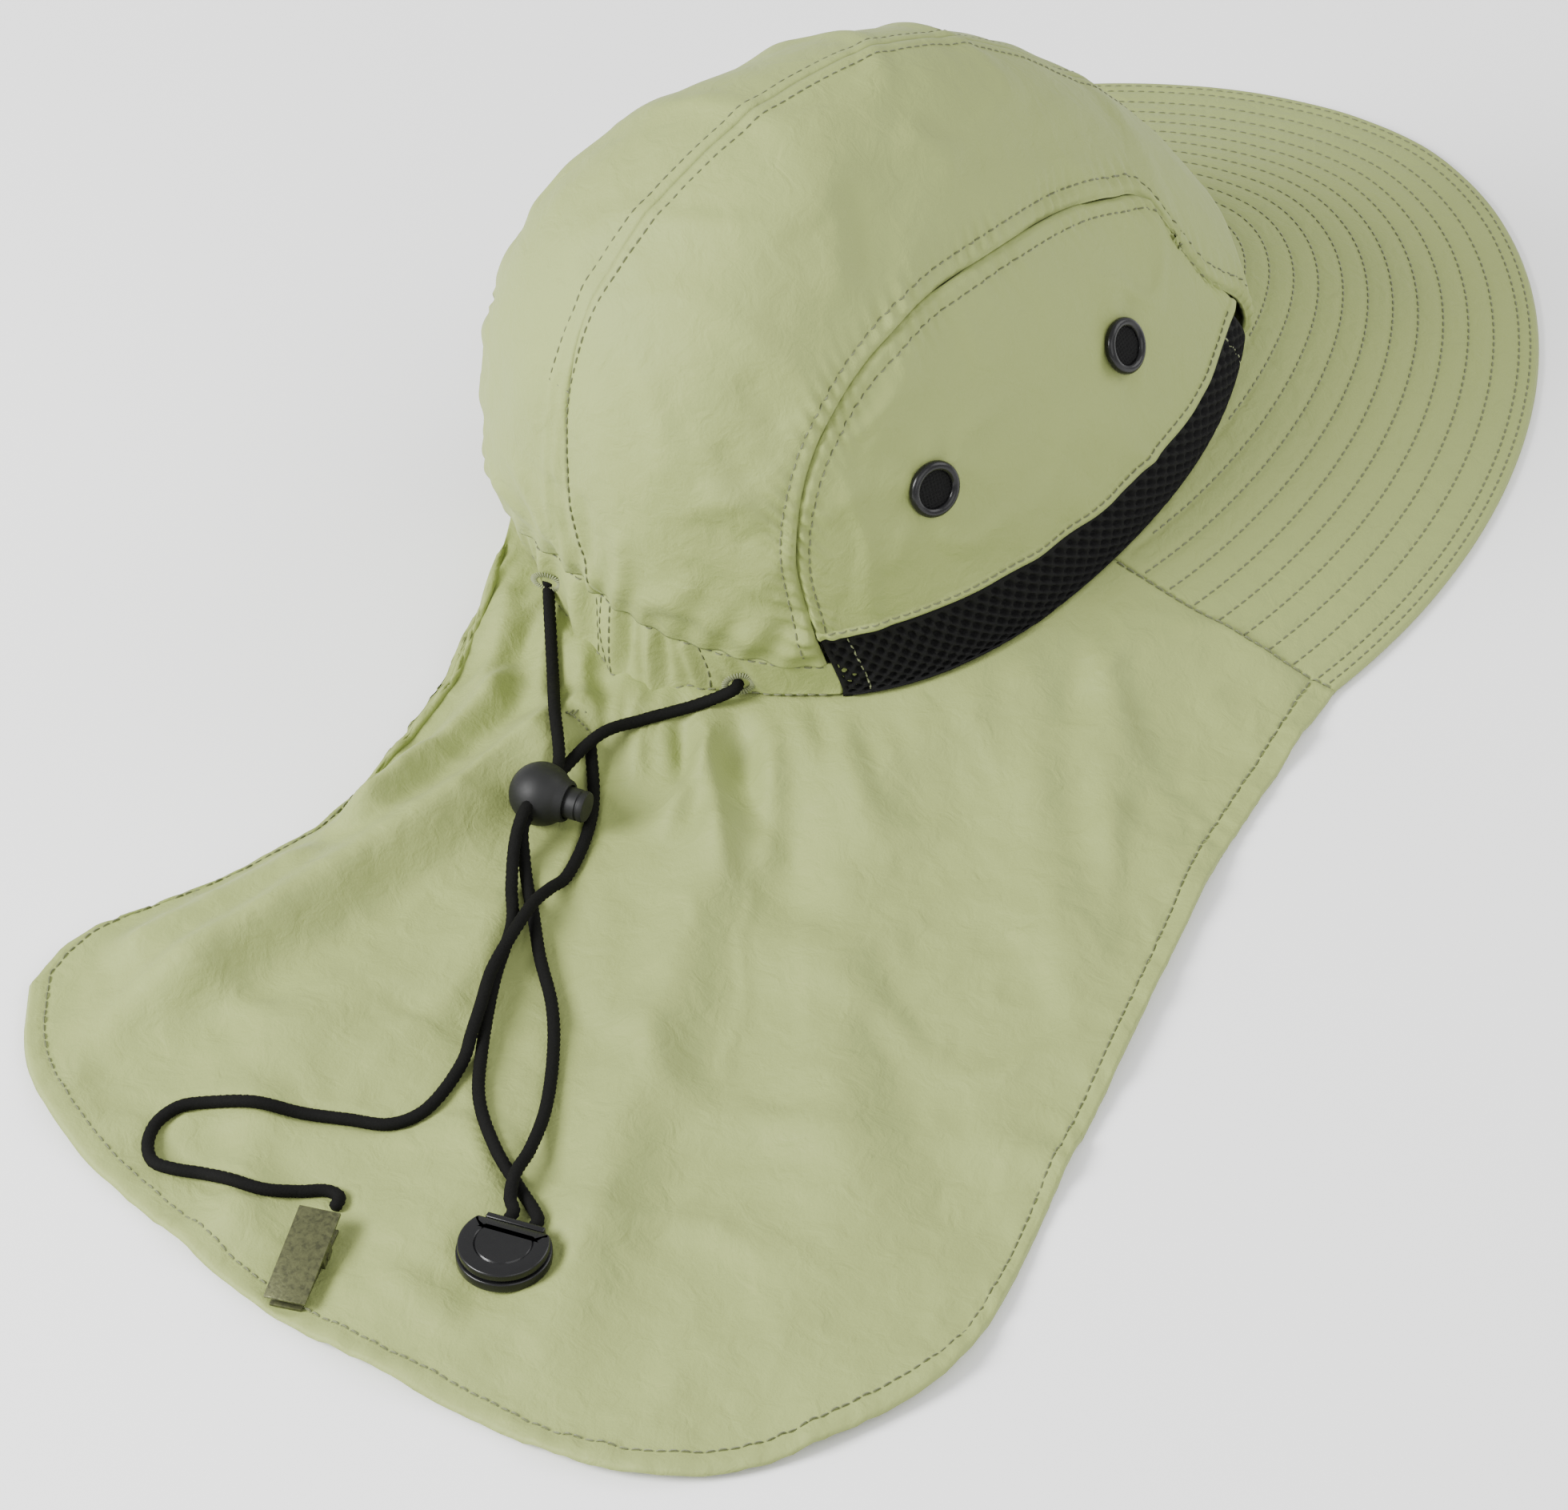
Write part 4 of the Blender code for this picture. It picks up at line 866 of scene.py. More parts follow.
def side_shape(side, sizes):
    flat = side_place(side)
    shares, run = arc_run(side)
    start, end = PANEL_SPAN[0] / PANEL_STEPS, PANEL_SPAN[1] / PANEL_STEPS

    def place(u, v):
        spots = flat(u, v)
        normals = normals_of(flat, u, v) * -side
        edge = flat(u, np.ones_like(u))
        length = np.interp(start + (end - start) * u, shares, run)
        from_seam = np.linalg.norm(spots - edge, axis=1)
        relief = seam_relief(from_seam, length, 2.7, 0.8 * sizes.pucker)
        foot = flat(u, np.zeros_like(u))
        from_band = np.linalg.norm(spots - foot, axis=1)
        relief += 0.0007 * ease((0.0030 - from_band) / 0.0010)
        relief -= 0.0002 * bump(from_band - 0.0022, 0.0006)
        relief += drape(spots, 24.0, 0.0007, 0.0008, 8) + 0.0002 * cloud(spots, 120.0, 9)
        relief += crown_creases(spots, side)
        for _, degrees, up in EYELETS:
            middle = crown_point(np.array([side * degrees]), np.array([up]))
            away = np.linalg.norm(spots - middle, axis=1)
            angle = np.arctan2(spots[:, 2] - middle[0, 2], spots[:, 0] - middle[0, 0])
            relief += 0.0004 * np.sin(5 * angle + 1.0) * bump(away - 0.010, 0.006)
            relief -= 0.0005 * bump(away, 0.0075)
        return spots + normals * relief[:, None]
    return place


def brim_place(u, v):
    s = 2 * u - 1
    x0, y0 = inner_point(BRIM_END * s)
    outer_end = BRIM_END - BRIM_TURN + BRIM_OVERLAP
    limit = brim_limit(outer_end * s)
    a = np.radians(outer_end * s)
    x = x0 + (limit * np.cos(a) - x0) * v
    y = y0 + (limit * np.sin(a) - y0) * v
    return np.stack([x, y, skirt_height(x, y, BRIM_THICK)], axis=-1)


def brim_shape(u, v):
    """The brim with its rings of stitching pressed in and its edge rounded over."""
    spots = brim_place(u, v)
    edge = brim_place(u, np.ones_like(u))
    inner = brim_place(u, np.zeros_like(u))
    out = np.linalg.norm(spots - edge, axis=1)
    room = np.linalg.norm(edge - inner, axis=1)
    relief = np.zeros_like(u)
    for k in range(BRIM_ROWS):
        at = BRIM_FIRST_ROW + k * BRIM_ROW_STEP
        relief -= 0.00035 * bump(out - at, 0.0011) * (room - at > 0.004)
    relief -= 0.00020 * bump(out - 0.0024, 0.0006)
    relief -= BRIM_THICK * 0.45 * (1 - np.sqrt(1 - np.clip(1 - out / 0.0014, 0, 1) ** 2))
    seam = np.minimum(u, 1 - u) * 0.42
    relief -= 0.0006 * bump(seam, 0.0012)
    relief += 0.0005 * cloud(spots, 14.0, 12) + 0.00012 * cloud(spots, 90.0, 13)
    spots[:, 2] += relief
    return spots


def flap_degrees(u):
    """Angles round the rim for even steps along the hem."""
    fine = np.linspace(HEM[0][0], HEM[-1][0], 800)
    x, y = hem_point(fine)
    run = np.concatenate([[0.0], np.cumsum(np.hypot(np.diff(x), np.diff(y)))])
    run = 0.75 * run / run[-1] + 0.25 * np.linspace(0.0, 1.0, 800)
    return np.interp(u, run, fine)


def flap_flat(u, v):
    """Where each point of the flap lies on the floor."""
    degrees = flap_degrees(u)
    x1, y1 = hem_point(degrees)
    x0, y0 = inner_point(np.where(degrees <= 180.0, -degrees, 360.0 - degrees))
    corner = math.radians(BRIM_END - BRIM_TURN)
    reach = float(brim_limit(np.array(math.degrees(corner))))
    for way, sewn in ((-1, ease((HEM[0][0] + 5 - degrees) / 5)),
                      (1, ease((degrees - HEM[-1][0] + 5) / 5))):
        x1 = x1 + (reach * math.cos(corner) - x1) * sewn
        y1 = y1 + (way * reach * math.sin(corner) - y1) * sewn
    y0, y1 = y0 + bowed(x0, degrees), y1 + bowed(x1, degrees)
    x = x0 + (x1 - x0) * v
    return x, y0 + (y1 - y0) * v - bowed(x, degrees), degrees


def flap_shape(u, v):
    """The flap: its fall from the rim, folds, creases, gathers at the band and the hem."""
    x, y, degrees = flap_flat(u, v)
    x1, y1, _ = flap_flat(u, np.ones_like(u))
    height = skirt_height(x, y, CLOTH)
    near = np.hypot(x, y) - rim_reach(rim_angle(np.degrees(np.arctan2(y, x))))
    behind = ease((55.0 - np.abs(degrees - 178.0)) / 25.0)
    gathers = ripple(degrees * 0.0016, 0.0105, 0.7) * 0.0015 + 0.0008
    height += gathers * behind * ease((near - 0.002) / 0.010) * np.exp(-np.maximum(near, 0) / 0.026)
    settle = ease(near / 0.02)
    height += ridges(x, y, FLAP_CREASES) * settle
    flat = np.stack([x, y, np.zeros_like(x)], axis=1)
    height += settle * (0.0006 + drape(flat, 13.0, 0.0012, 0.0016, 21)
                        + drape(flat, 36.0, 0.0003, 0.0005, 24) + 0.00012 * cloud(flat, 130.0, 27))
    from_hem = np.hypot(x - x1, y - y1)
    run = u * 1.15
    height += 0.0004 * ease((HEM_ROW - from_hem) / 0.0012)
    height += 0.00050 * ripple(run, 0.010, 3.1) * bump(from_hem - 0.6 * HEM_ROW, 0.005)
    height -= 0.00025 * bump(from_hem - HEM_ROW, 0.0008)
    height -= 0.0008 * (1 - np.sqrt(1 - np.clip(1 - from_hem / 0.0010, 0, 1) ** 2))
    seam = np.where(u < 0.5, u, 1 - u) * 1.15
    height -= 0.0004 * bump(seam, 0.0015)
    under = ease((degrees - UNDER_START) / UNDER_BLEND) * ease((UNDER_END - degrees) / UNDER_BLEND)
    drop = rim_height(degrees) - 3 * SEAT_GAP
    drop = drop + (CLOTH + BRIM_EDGE_LIFT - drop) * ease(v)
    height = np.minimum(height + (drop - height) * under, bed_height(x, y))
    return np.stack([x, y, np.maximum(height, CLOTH * 0.8)], axis=-1)


def bed_height(x, y):
    """How high the flap may reach, so that it stays below all that lies on it."""
    limit = np.full_like(x, 1.0)
    for line in beds:
        for part in range(0, len(line), 24):
            spots = line[part:part + 24]
            near = (np.abs(x - spots[:, 0].mean()) < 0.02) & (np.abs(y - spots[:, 1].mean()) < 0.02)
            if near.any():
                away = np.hypot(x[near, None] - spots[:, 0], y[near, None] - spots[:, 1])
                top = spots[:, 2] + BED_SLOPE * np.maximum(away - spots[:, 3], 0.0)
                limit[near] = np.minimum(limit[near], top.min(axis=1))
    return limit


def band_shape(u, v):
    """The gathered back band, which stands out over the flap at its lower edge."""
    first = BAND_BACK - 1.5 + BAND_SLANT * (1 - v)
    degrees = first + (360.0 - 2 * first) * u
    spots = crown_point(degrees, BACK_TOP * v)
    foot = crown_point(degrees, np.zeros_like(u))
    out = spots * np.array([1.0, 0.35, 0.0])
    out /= np.linalg.norm(out, axis=1, keepdims=True)
    flare = read_table(BAND_FLARE, degrees)
    share = ease((32.0 - np.abs(degrees - 182.0)) / 12.0)
    run = degrees * math.radians(1.0) * RIM_LENGTH / 2
    folds = ripple(run + 0.0022 * np.sin(3 * v), 0.0125, 1.1)
    folds = 0.75 * folds + 0.35 * ripple(run - 0.0020 * v, 0.0071, 2.6)
    relief = share * 0.0023 * folds * (0.40 + 0.60 * np.sin(math.pi * v))
    relief += 0.0003 * cloud(spots, 60.0, 31)
    relief -= 0.0005 * (bump(1 - v, 0.05) + bump(v, 0.05))
    relief -= 0.0012 * ease((2.5 - np.minimum(u, 1 - u) * (360.0 - 2 * BAND_BACK)) / 1.0)
    low = foot + out * (flare + share * 0.0007 * folds)[:, None]
    seat = skirt_height(low[:, 0], low[:, 1], CLOTH) + 0.0006
    lower = (1 - v) ** 1.15
    spots = spots + out * (relief + flare * lower)[:, None]
    spots[:, 2] += np.minimum(seat - foot[:, 2], 0.0) * lower * ease(flare / 0.002)
    return spots


def buttonhole(side):
    """Middle of a buttonhole on the back band, and its ways along, up and out."""
    degrees, v = BUTTONHOLES[side]
    u = (degrees - BAND_BACK) / (360.0 - 2 * BAND_BACK)
    spots = band_shape(np.array([u, u + 0.01, u]), np.array([v, v, v + 0.08]))
    here, beside, over = (Vector(spot) for spot in spots)
    along, above = (beside - here).normalized(), (over - here).normalized()
    out = along.cross(above).normalized()
    if out.dot(from_core(here)) < 0:
        out.negate()
    return here, along, out.cross(along), out


class HatSizes(bpy.types.PropertyGroup):
    stitch_length: FloatProperty(
        name="Stitch length", description="Length of one visible stitch",
        default=0.0021, min=0.001, max=0.005, unit="LENGTH", precision=4)
    stitch_pitch: FloatProperty(
        name="Stitch pitch", description="From one stitch to the next",
        default=0.0027, min=0.0015, max=0.006, unit="LENGTH", precision=4)
    thread_width: FloatProperty(
        name="Thread width", description="Width of the sewing thread",
        default=0.00050, min=0.0001, max=0.001, unit="LENGTH", precision=5)
    pucker: FloatProperty(
        name="Pucker", description="Height of the gathers beside the curved seams",
        default=0.00070, min=0.0, max=0.002, unit="LENGTH", precision=5)
    braid: FloatProperty(
        name="Braid relief", description="Depth between the strands of the cord's braid",
        default=0.00030, min=0.0, max=0.0005, unit="LENGTH", precision=5)
    net_depth: FloatProperty(
        name="Mesh depth", description="Depth of the openings in the side mesh",
        default=0.0014, min=0.0, max=0.002, unit="LENGTH", precision=4)
    cord_sides: IntProperty(
        name="Cord sides", description="Faces round a cord", default=14, min=8, max=32)


class HatColours(bpy.types.PropertyGroup):
    cloth: FloatVectorProperty(
        name="Cloth", description="Colour of the nylon", subtype="COLOR",
        default=(0.255, 0.300, 0.092), min=0.0, max=1.0)
    thread: FloatVectorProperty(
        name="Thread", description="Colour of the stitching", subtype="COLOR",
        default=(0.105, 0.118, 0.045), min=0.0, max=1.0)
    net: FloatVectorProperty(
        name="Mesh", description="Colour of the spacer mesh", subtype="COLOR",
        default=(0.0085, 0.0085, 0.0085), min=0.0, max=1.0)
    cord: FloatVectorProperty(
        name="Cord", description="Colour of the braided cord", subtype="COLOR",
        default=(0.0040, 0.0040, 0.0036), min=0.0, max=1.0)
    lock: FloatVectorProperty(
        name="Lock", description="Colour of the cord lock", subtype="COLOR",
        default=(0.0075, 0.0078, 0.0080), min=0.0, max=1.0)
    gloss: FloatVectorProperty(
        name="Glossy plastic", description="Colour of the clip and the eyelets",
        subtype="COLOR", default=(0.0055, 0.0055, 0.006), min=0.0, max=1.0)
    brass: FloatVectorProperty(
        name="Brass", description="Colour of the antiqued brass", subtype="COLOR",
        default=(0.110, 0.116, 0.055), min=0.0, max=1.0)
    floor: FloatVectorProperty(
        name="Floor", description="Colour of the floor", subtype="COLOR",
        default=(0.96, 0.96, 0.96), min=0.0, max=1.0)


def material(name, make, *values):
    """The hat's material of that name, made the first time that it is asked for."""
    return bpy.data.materials.get(name) or make(name, *values)


def cloth_material(colours):
    return material("sage_nylon", cloth_finish, tuple(colours.cloth))


def thread_material(colours):
    return material("olive_thread", thread_finish, tuple(colours.thread))


class HatOperator:
    bl_options = {"REGISTER", "UNDO"}

    @classmethod
    def poll(cls, context):
        return context.scene is not None

    def execute(self, context):
        self.make(context.scene.hat_sizes, context.scene.hat_colours)
        return {"FINISHED"}


class HAT_OT_stage(HatOperator, bpy.types.Operator):
    """Sets the camera at the photograph's view, the floor and the soft studio light"""
    bl_idname = "hat.stage"
    bl_label = "Stage"

    def make(self, sizes, colours):
        scene = bpy.context.scene
        azimuth, elevation, roll = (math.radians(a) for a in (-40.5, 43.0, -1.45))
        back = Vector((math.sin(azimuth) * math.cos(elevation),
                       -math.cos(azimuth) * math.cos(elevation), math.sin(elevation)))
        right = (-back).cross(Vector((0, 0, 1))).normalized()
        up = back.cross(right)
        across = right * math.cos(roll) + up * math.sin(roll)
        above = up * math.cos(roll) - right * math.sin(roll)
        lens = bpy.data.cameras.new("photo_camera")
        camera = bpy.data.objects.new("photo_camera", lens)
        lens.sensor_fit = "HORIZONTAL"
        lens.sensor_width = 36.0
        lens.lens = 152.66
        lens.clip_end = 30.0
        turn = Matrix((across, above, back)).transposed().to_4x4()
        turn.translation = Vector((-0.099, -0.0717, 0.0173)) + back * 1.570
        camera.matrix_world = turn
        scene.collection.objects.link(camera)
        scene.camera = camera
        bm = bmesh.new()
        bmesh.ops.create_grid(bm, x_segments=1, y_segments=1, size=4.0)
        mesh = bpy.data.meshes.new("floor")
        bm.to_mesh(mesh)
        bm.free()
        floor = bpy.data.objects.new("floor", mesh)
        made, shader, wire, spots = finish("pale_floor", 0.9)
        shader.inputs["Base Color"].default_value = (*colours.floor, 1.0)
        mesh.materials.append(made)
        scene.collection.objects.link(floor)
        world = bpy.data.worlds.new("studio")
        world.use_nodes = True
        world.node_tree.nodes["Background"].inputs["Color"].default_value = (1, 1, 1, 1)
        world.node_tree.nodes["Background"].inputs["Strength"].default_value = 0.85
        scene.world = world
        for name, spot, size, power in (("key", (-1.45, 0.45, 1.05), 0.8, 66.0),
                                        ("fill", (-0.3, -1.5, 1.1), 1.4, 12.0),
                                        ("front", (1.3, -0.7, 1.1), 1.2, 14.0)):
            light = bpy.data.lights.new(name, "AREA")
            light.size = size
            light.energy = power
            lamp = bpy.data.objects.new(name, light)
            lamp.location = spot
            lamp.rotation_euler = (-Vector(spot)).to_track_quat("-Z", "Y").to_euler()
            scene.collection.objects.link(lamp)


class HAT_OT_cords(HatOperator, bpy.types.Operator):
    """Lays the braided draw cord's four runs and the cord of the brass clip"""
    bl_idname = "hat.cords"
    bl_label = "Cords"

    def make(self, sizes, colours):
        lock = placed(LOCK_PLACE, LOCK_TURN, LOCK_RADIUS, 0.75 * LOCK_RADIUS)
        snap = placed(SNAP_PLACE, SNAP_TURN, 0.0, SNAP_RADIUS)
        step = CORD_RADIUS + SEAT_GAP
        beside = 0.27 * SNAP_RADIUS
        braid = material("black_braid", braid_finish, tuple(colours.cord))
        for side, upper, lower in ((1, UPPER_LEFT_ROUTE, LOWER_LEFT_ROUTE),
                                   (-1, UPPER_RIGHT_ROUTE, LOWER_RIGHT_ROUTE)):
            name = "left" if side > 0 else "right"
            into = [lock @ Vector((x, 0, side * step)) for x in (-1.25 * LOCK_RADIUS, -SEAT_GAP)]
            out = [lock @ Vector((x, 0, side * step)) for x in (SEAT_GAP, 1.25 * LOCK_RADIUS)]
            tied = [snap @ Vector((x, -side * beside, CORD_RADIUS + SEAT_GAP))
                    for x in (SNAP_FLAT + 3 * CORD_RADIUS, SNAP_FLAT + 3 * SEAT_GAP)]
            here, _, _, away = buttonhole(name)
            self.run("draw_cord_upper_" + name, [here - away * 0.0005] + on_flap(upper) + into,
                     braid, sizes,
                     "fitting", ["cord_lock_body", "cord_lock_button"])
            self.run("draw_cord_lower_" + name, out + on_flap(lower) + tied, braid, sizes,
                     "fitting", ["snap_clip_base", "snap_clip_lid"])
        self.run("clip_cord", on_flap(CLIP_ROUTE), braid, sizes, "fitting",
                 ["brass_clip_lower", "brass_clip_upper"])
        jaw = placed(JAW_PLACE, JAW_TURN, 0.0, JAW_LENGTH / 2)
        for place, spots, reach in ((lock, (0.0,), 0.5 * LOCK_RADIUS),
                                    (snap, (0.0,), SNAP_RADIUS),
                                    (jaw, (-0.008, 0.0, 0.008), 0.5 * JAW_WIDTH + 0.001)):
            low = place.translation.z - BED_GAP - (LOCK_RADIUS if place is lock else 0.0)
            rests = [(*(place @ Vector((x, 0, 0))).xy, low, reach) for x in spots]
            beds.append(np.array(rests))

    def run(self, node, points, braid, sizes, far_end, pieces):
        """One run of cord: a tube along its route, with the braid's strands in relief."""
        line, length = smooth_route(points, 0.0005)
        last = len(line) - 1
        bm, u, v = grid_verts(sizes.cord_sides, last)
        ahead = np.gradient(line, axis=0)
        ahead /= np.linalg.norm(ahead, axis=1, keepdims=True)
        across = np.cross(np.array([0.0, 0.0, 1.0]), ahead)
        across /= np.linalg.norm(across, axis=1, keepdims=True)
        above = np.cross(ahead, across)
        k = np.rint(v * last).astype(int)
        along, turn = k / last * length, 2 * math.pi * u
        strands = np.abs(np.sin(3 * turn + along * 1900)) * np.abs(np.sin(3 * turn - along * 1900))
        end = np.minimum(along, length - along)
        cap = np.sqrt(np.clip(1 - (1 - end / 0.0008) ** 2 * (end < 0.0008), 0.0, 1.0))
        radius = (CORD_RADIUS + sizes.braid * (strands ** 0.5 - 0.75)) * cap
        spots = line[k] + radius[:, None] * (np.cos(turn)[:, None] * across[k]
                                             + np.sin(turn)[:, None] * above[k])
        lay(bm, spots)
        beds.append(np.column_stack([line[::2, :2], line[::2, 2] - CORD_RADIUS - BED_GAP,
                                     np.full(len(line[::2]), 0.0009)]))
        bmesh.ops.remove_doubles(bm, verts=bm.verts, dist=0.00002)
        bmesh.ops.recalc_face_normals(bm, faces=bm.faces)
        made = add_piece("braided_" + node, bm, braid)
        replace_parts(made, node)


beds = []


def on_flap(rows):
    table = np.array(rows)
    height = skirt_height(table[:, 0], table[:, 1], CLOTH) + CORD_CLEAR + CORD_RADIUS
    return [Vector((x, y, z + clear)) for (x, y, clear), z in zip(rows, height)]


class HAT_OT_crown(HatOperator, bpy.types.Operator):
    """Sews the two top panels of the crown, with the centre seam"""
    bl_idname = "hat.crown"
    bl_label = "Crown"

    def make(self, sizes, colours):
        rows = bmesh.new()
        for side in (1, -1):
            name = "left" if side > 0 else "right"
            place = crown_shape(side, sizes)
            bm, u, v = grid_verts(330, 72)
            v = 1 - (1 - v) ** 1.35
            lay(bm, place(u, v))
            wall(bm, from_core)
            made = add_piece("crown_cloth_" + name, bm, cloth_material(colours))
            thicken(made, CLOTH * 0.8)
            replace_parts(made, "crown_panel_" + name)
            self.sew(rows, place, side, sizes)
        add_piece("crown_stitching", rows, thread_material(colours))

    def sew(self, rows, place, side, sizes):
        u = np.linspace(0.0, 1.0, 500)
        flat = crown_place(side)
        edge, middle = flat(u, np.ones_like(u)), flat(u, np.zeros_like(u))
        fine = np.linspace(0.0, 1.0, 160)
        grid = np.stack([flat(u, np.full_like(u, share)) for share in fine], axis=1)
        from_seam = np.linalg.norm(grid - edge[:, None, :], axis=2)[:, ::-1]
        v = np.array([1 - np.interp(SEAM_ROW, row, fine) for row in from_seam])
        inside = slice(8, 492)
        spots = place(u, v)[inside]
        normals = (normals_of(flat, u, v) * side)[inside]
        stitch(rows, spots, normals, sizes)
        away = np.abs(grid[:, :, 1])
        v = np.array([np.interp(CENTRE_ROW, row, fine) for row in away])
        spots, normals = place(u, v)[inside], (normals_of(flat, u, v) * side)[inside]
        stitch(rows, spots, normals, sizes)


class HAT_OT_sides(HatOperator, bpy.types.Operator):
    """Sews the side panels inside the curved seams"""
    bl_idname = "hat.sides"
    bl_label = "Side Panels"

    def make(self, sizes, colours):
        rows = bmesh.new()
        for side in (1, -1):
            name = "left" if side > 0 else "right"
            place, flat = side_shape(side, sizes), side_place(side)
            bm, u, v = grid_verts(250, 60)
            v = 1 - (1 - v) ** 1.2
            lay(bm, place(u, v))
            wall(bm, from_core)
            made = add_piece("side_cloth_" + name, bm, cloth_material(colours))
            thicken(made, CLOTH * 0.8)
            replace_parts(made, "side_panel_" + name)
            u, fine = np.linspace(0.0, 1.0, 400), np.linspace(0.0, 1.0, 140)
            grid = np.stack([flat(u, np.full_like(u, share)) for share in fine], axis=1)
            from_seam = np.linalg.norm(grid - grid[:, -1:, :], axis=2)[:, ::-1]
            from_band = np.linalg.norm(grid - grid[:, :1, :], axis=2)
            inside = slice(10, 388)
            for v in ([1 - np.interp(SEAM_ROW, row, fine) for row in from_seam],
                      [np.interp(0.0022, row, fine) for row in from_band]):
                v = np.array(v)
                normals = (normals_of(flat, u, v) * -side)[inside]
                stitch(rows, place(u, v)[inside], normals, sizes)
        add_piece("side_stitching", rows, thread_material(colours))


class HAT_OT_mesh_bands(HatOperator, bpy.types.Operator):
    """Knits the open black mesh bands along the rim"""
    bl_idname = "hat.mesh_bands"
    bl_label = "Mesh Bands"

    def make(self, sizes, colours):
        net = material("black_net", net_finish, tuple(colours.net))
        rows = bmesh.new()
        pale = material("pale_thread", thread_finish, (0.200, 0.225, 0.105))
        for side in (1, -1):
            name = "left" if side > 0 else "right"

            def flat(u, v):
                back = BAND_BACK + BAND_SLANT * (1 - v)
                degrees = BAND_FRONT + (back - BAND_FRONT) * u
                return crown_point(side * degrees, up_at(degrees, BAND_WIDTH) * v)

            length = 0.168

            def outward(u, v):
                normals = normals_of(flat, u, v)
                spots = flat(u, v)
                way = np.sign(np.sum(normals * (spots - np.array([-0.03, 0.0, 0.03])), axis=1))
                return normals * way[:, None]

            def knit(u, v):
                holes = hexes(u * length, v * BAND_WIDTH, NET_PITCH, 0.95 * NET_PITCH)
                edge = np.minimum(v, 1 - v) * BAND_WIDTH
                ends = np.minimum(u, 1 - u) * length
                inside = ease((edge - 0.0012) / 0.0010) * ease((ends - 0.0010) / 0.0010)
                relief = 0.0003 - sizes.net_depth * holes * inside
                relief -= 0.0009 * (1 - np.sqrt(1 - np.clip(1 - edge / 0.0010, 0, 1) ** 2))
                relief -= 0.0004 * bump(ends - 0.0085, 0.0007)
                return flat(u, v) + outward(u, v) * relief[:, None]

            bm, u, v = grid_verts(300, 42)
            lay(bm, knit(u, v))
            wall(bm, from_core)
            made = add_piece("knitted_band_" + name, bm, net)
            thicken(made, 0.0006)
            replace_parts(made, "mesh_band_" + name)
            v = np.linspace(0.04, 0.96, 40)
            for at in (0.0085 / length, 1 - 0.0085 / length):
                u = np.full_like(v, at)
                stitch(rows, knit(u, v), outward(u, v), sizes)
        add_piece("band_stitching", rows, pale)


class HAT_OT_eyelets(HatOperator, bpy.types.Operator):
    """Presses the four eyelets, each closed by a disc of fine mesh"""
    bl_idname = "hat.eyelets"
    bl_label = "Eyelets"

    def make(self, sizes, colours):
        gloss = material("black_gloss", plastic_finish, tuple(colours.gloss), 0.28, 0.1, 0.28)
        net = material("black_net", net_finish, tuple(colours.net))
        outer, hole, thick = EYELET_RADIUS, EYELET_HOLE, EYELET_THICK
        rim = [(outer - 0.0003, -0.0006), (outer, 0.0)]
        rim += [((outer + hole) / 2 + (outer - hole) / 2 * math.cos(a),
                 0.0003 + (thick - 0.0003) * math.sin(a))
                for a in (math.pi * k / 12 for k in range(1, 12))]
        rim += [(hole, 0.0003), (hole, -0.0004)]
        for side in (1, -1):
            for name, degrees, up in EYELETS:
                place = self.frame(side, degrees, up)
                node = "eyelet_%s_%s" % (name, "left" if side > 0 else "right")
                ring = spun("ring_" + node, rim, 40, gloss, place)
                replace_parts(ring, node)
                bm, u, v = grid_verts(44, 44)
                x, y = (2 * u - 1), (2 * v - 1)
                round_x, round_y = x * np.sqrt(1 - y * y / 2), y * np.sqrt(1 - x * x / 2)
                x, y = round_x * (hole + 0.0003), round_y * (hole + 0.0003)
                strands = np.maximum(np.abs(np.sin(x * 3400)), np.abs(np.sin(y * 3400)))
                lay(bm, np.stack([x, y, 0.0002 + 0.0003 * strands ** 2], axis=1))
                bmesh.ops.transform(bm, matrix=place, verts=bm.verts)
                made = add_piece("disc_" + node, bm, net)
                thicken(made, 0.0003)

    def frame(self, side, degrees, up):
        def at(d, k):
            return Vector(crown_point(np.array([side * d]), np.array([k]))[0])
        here = at(degrees, up)
        across, above = at(degrees + 2, up) - at(degrees - 2, up), at(degrees, up + .02) - here
        normal = across.cross(above).normalized()
        if normal.dot(from_core(here)) < 0:
            normal.negate()
        turn = normal.to_track_quat("Z", "Y").to_matrix().to_4x4()
        return Matrix.Translation(here + normal * 0.0002) @ turn


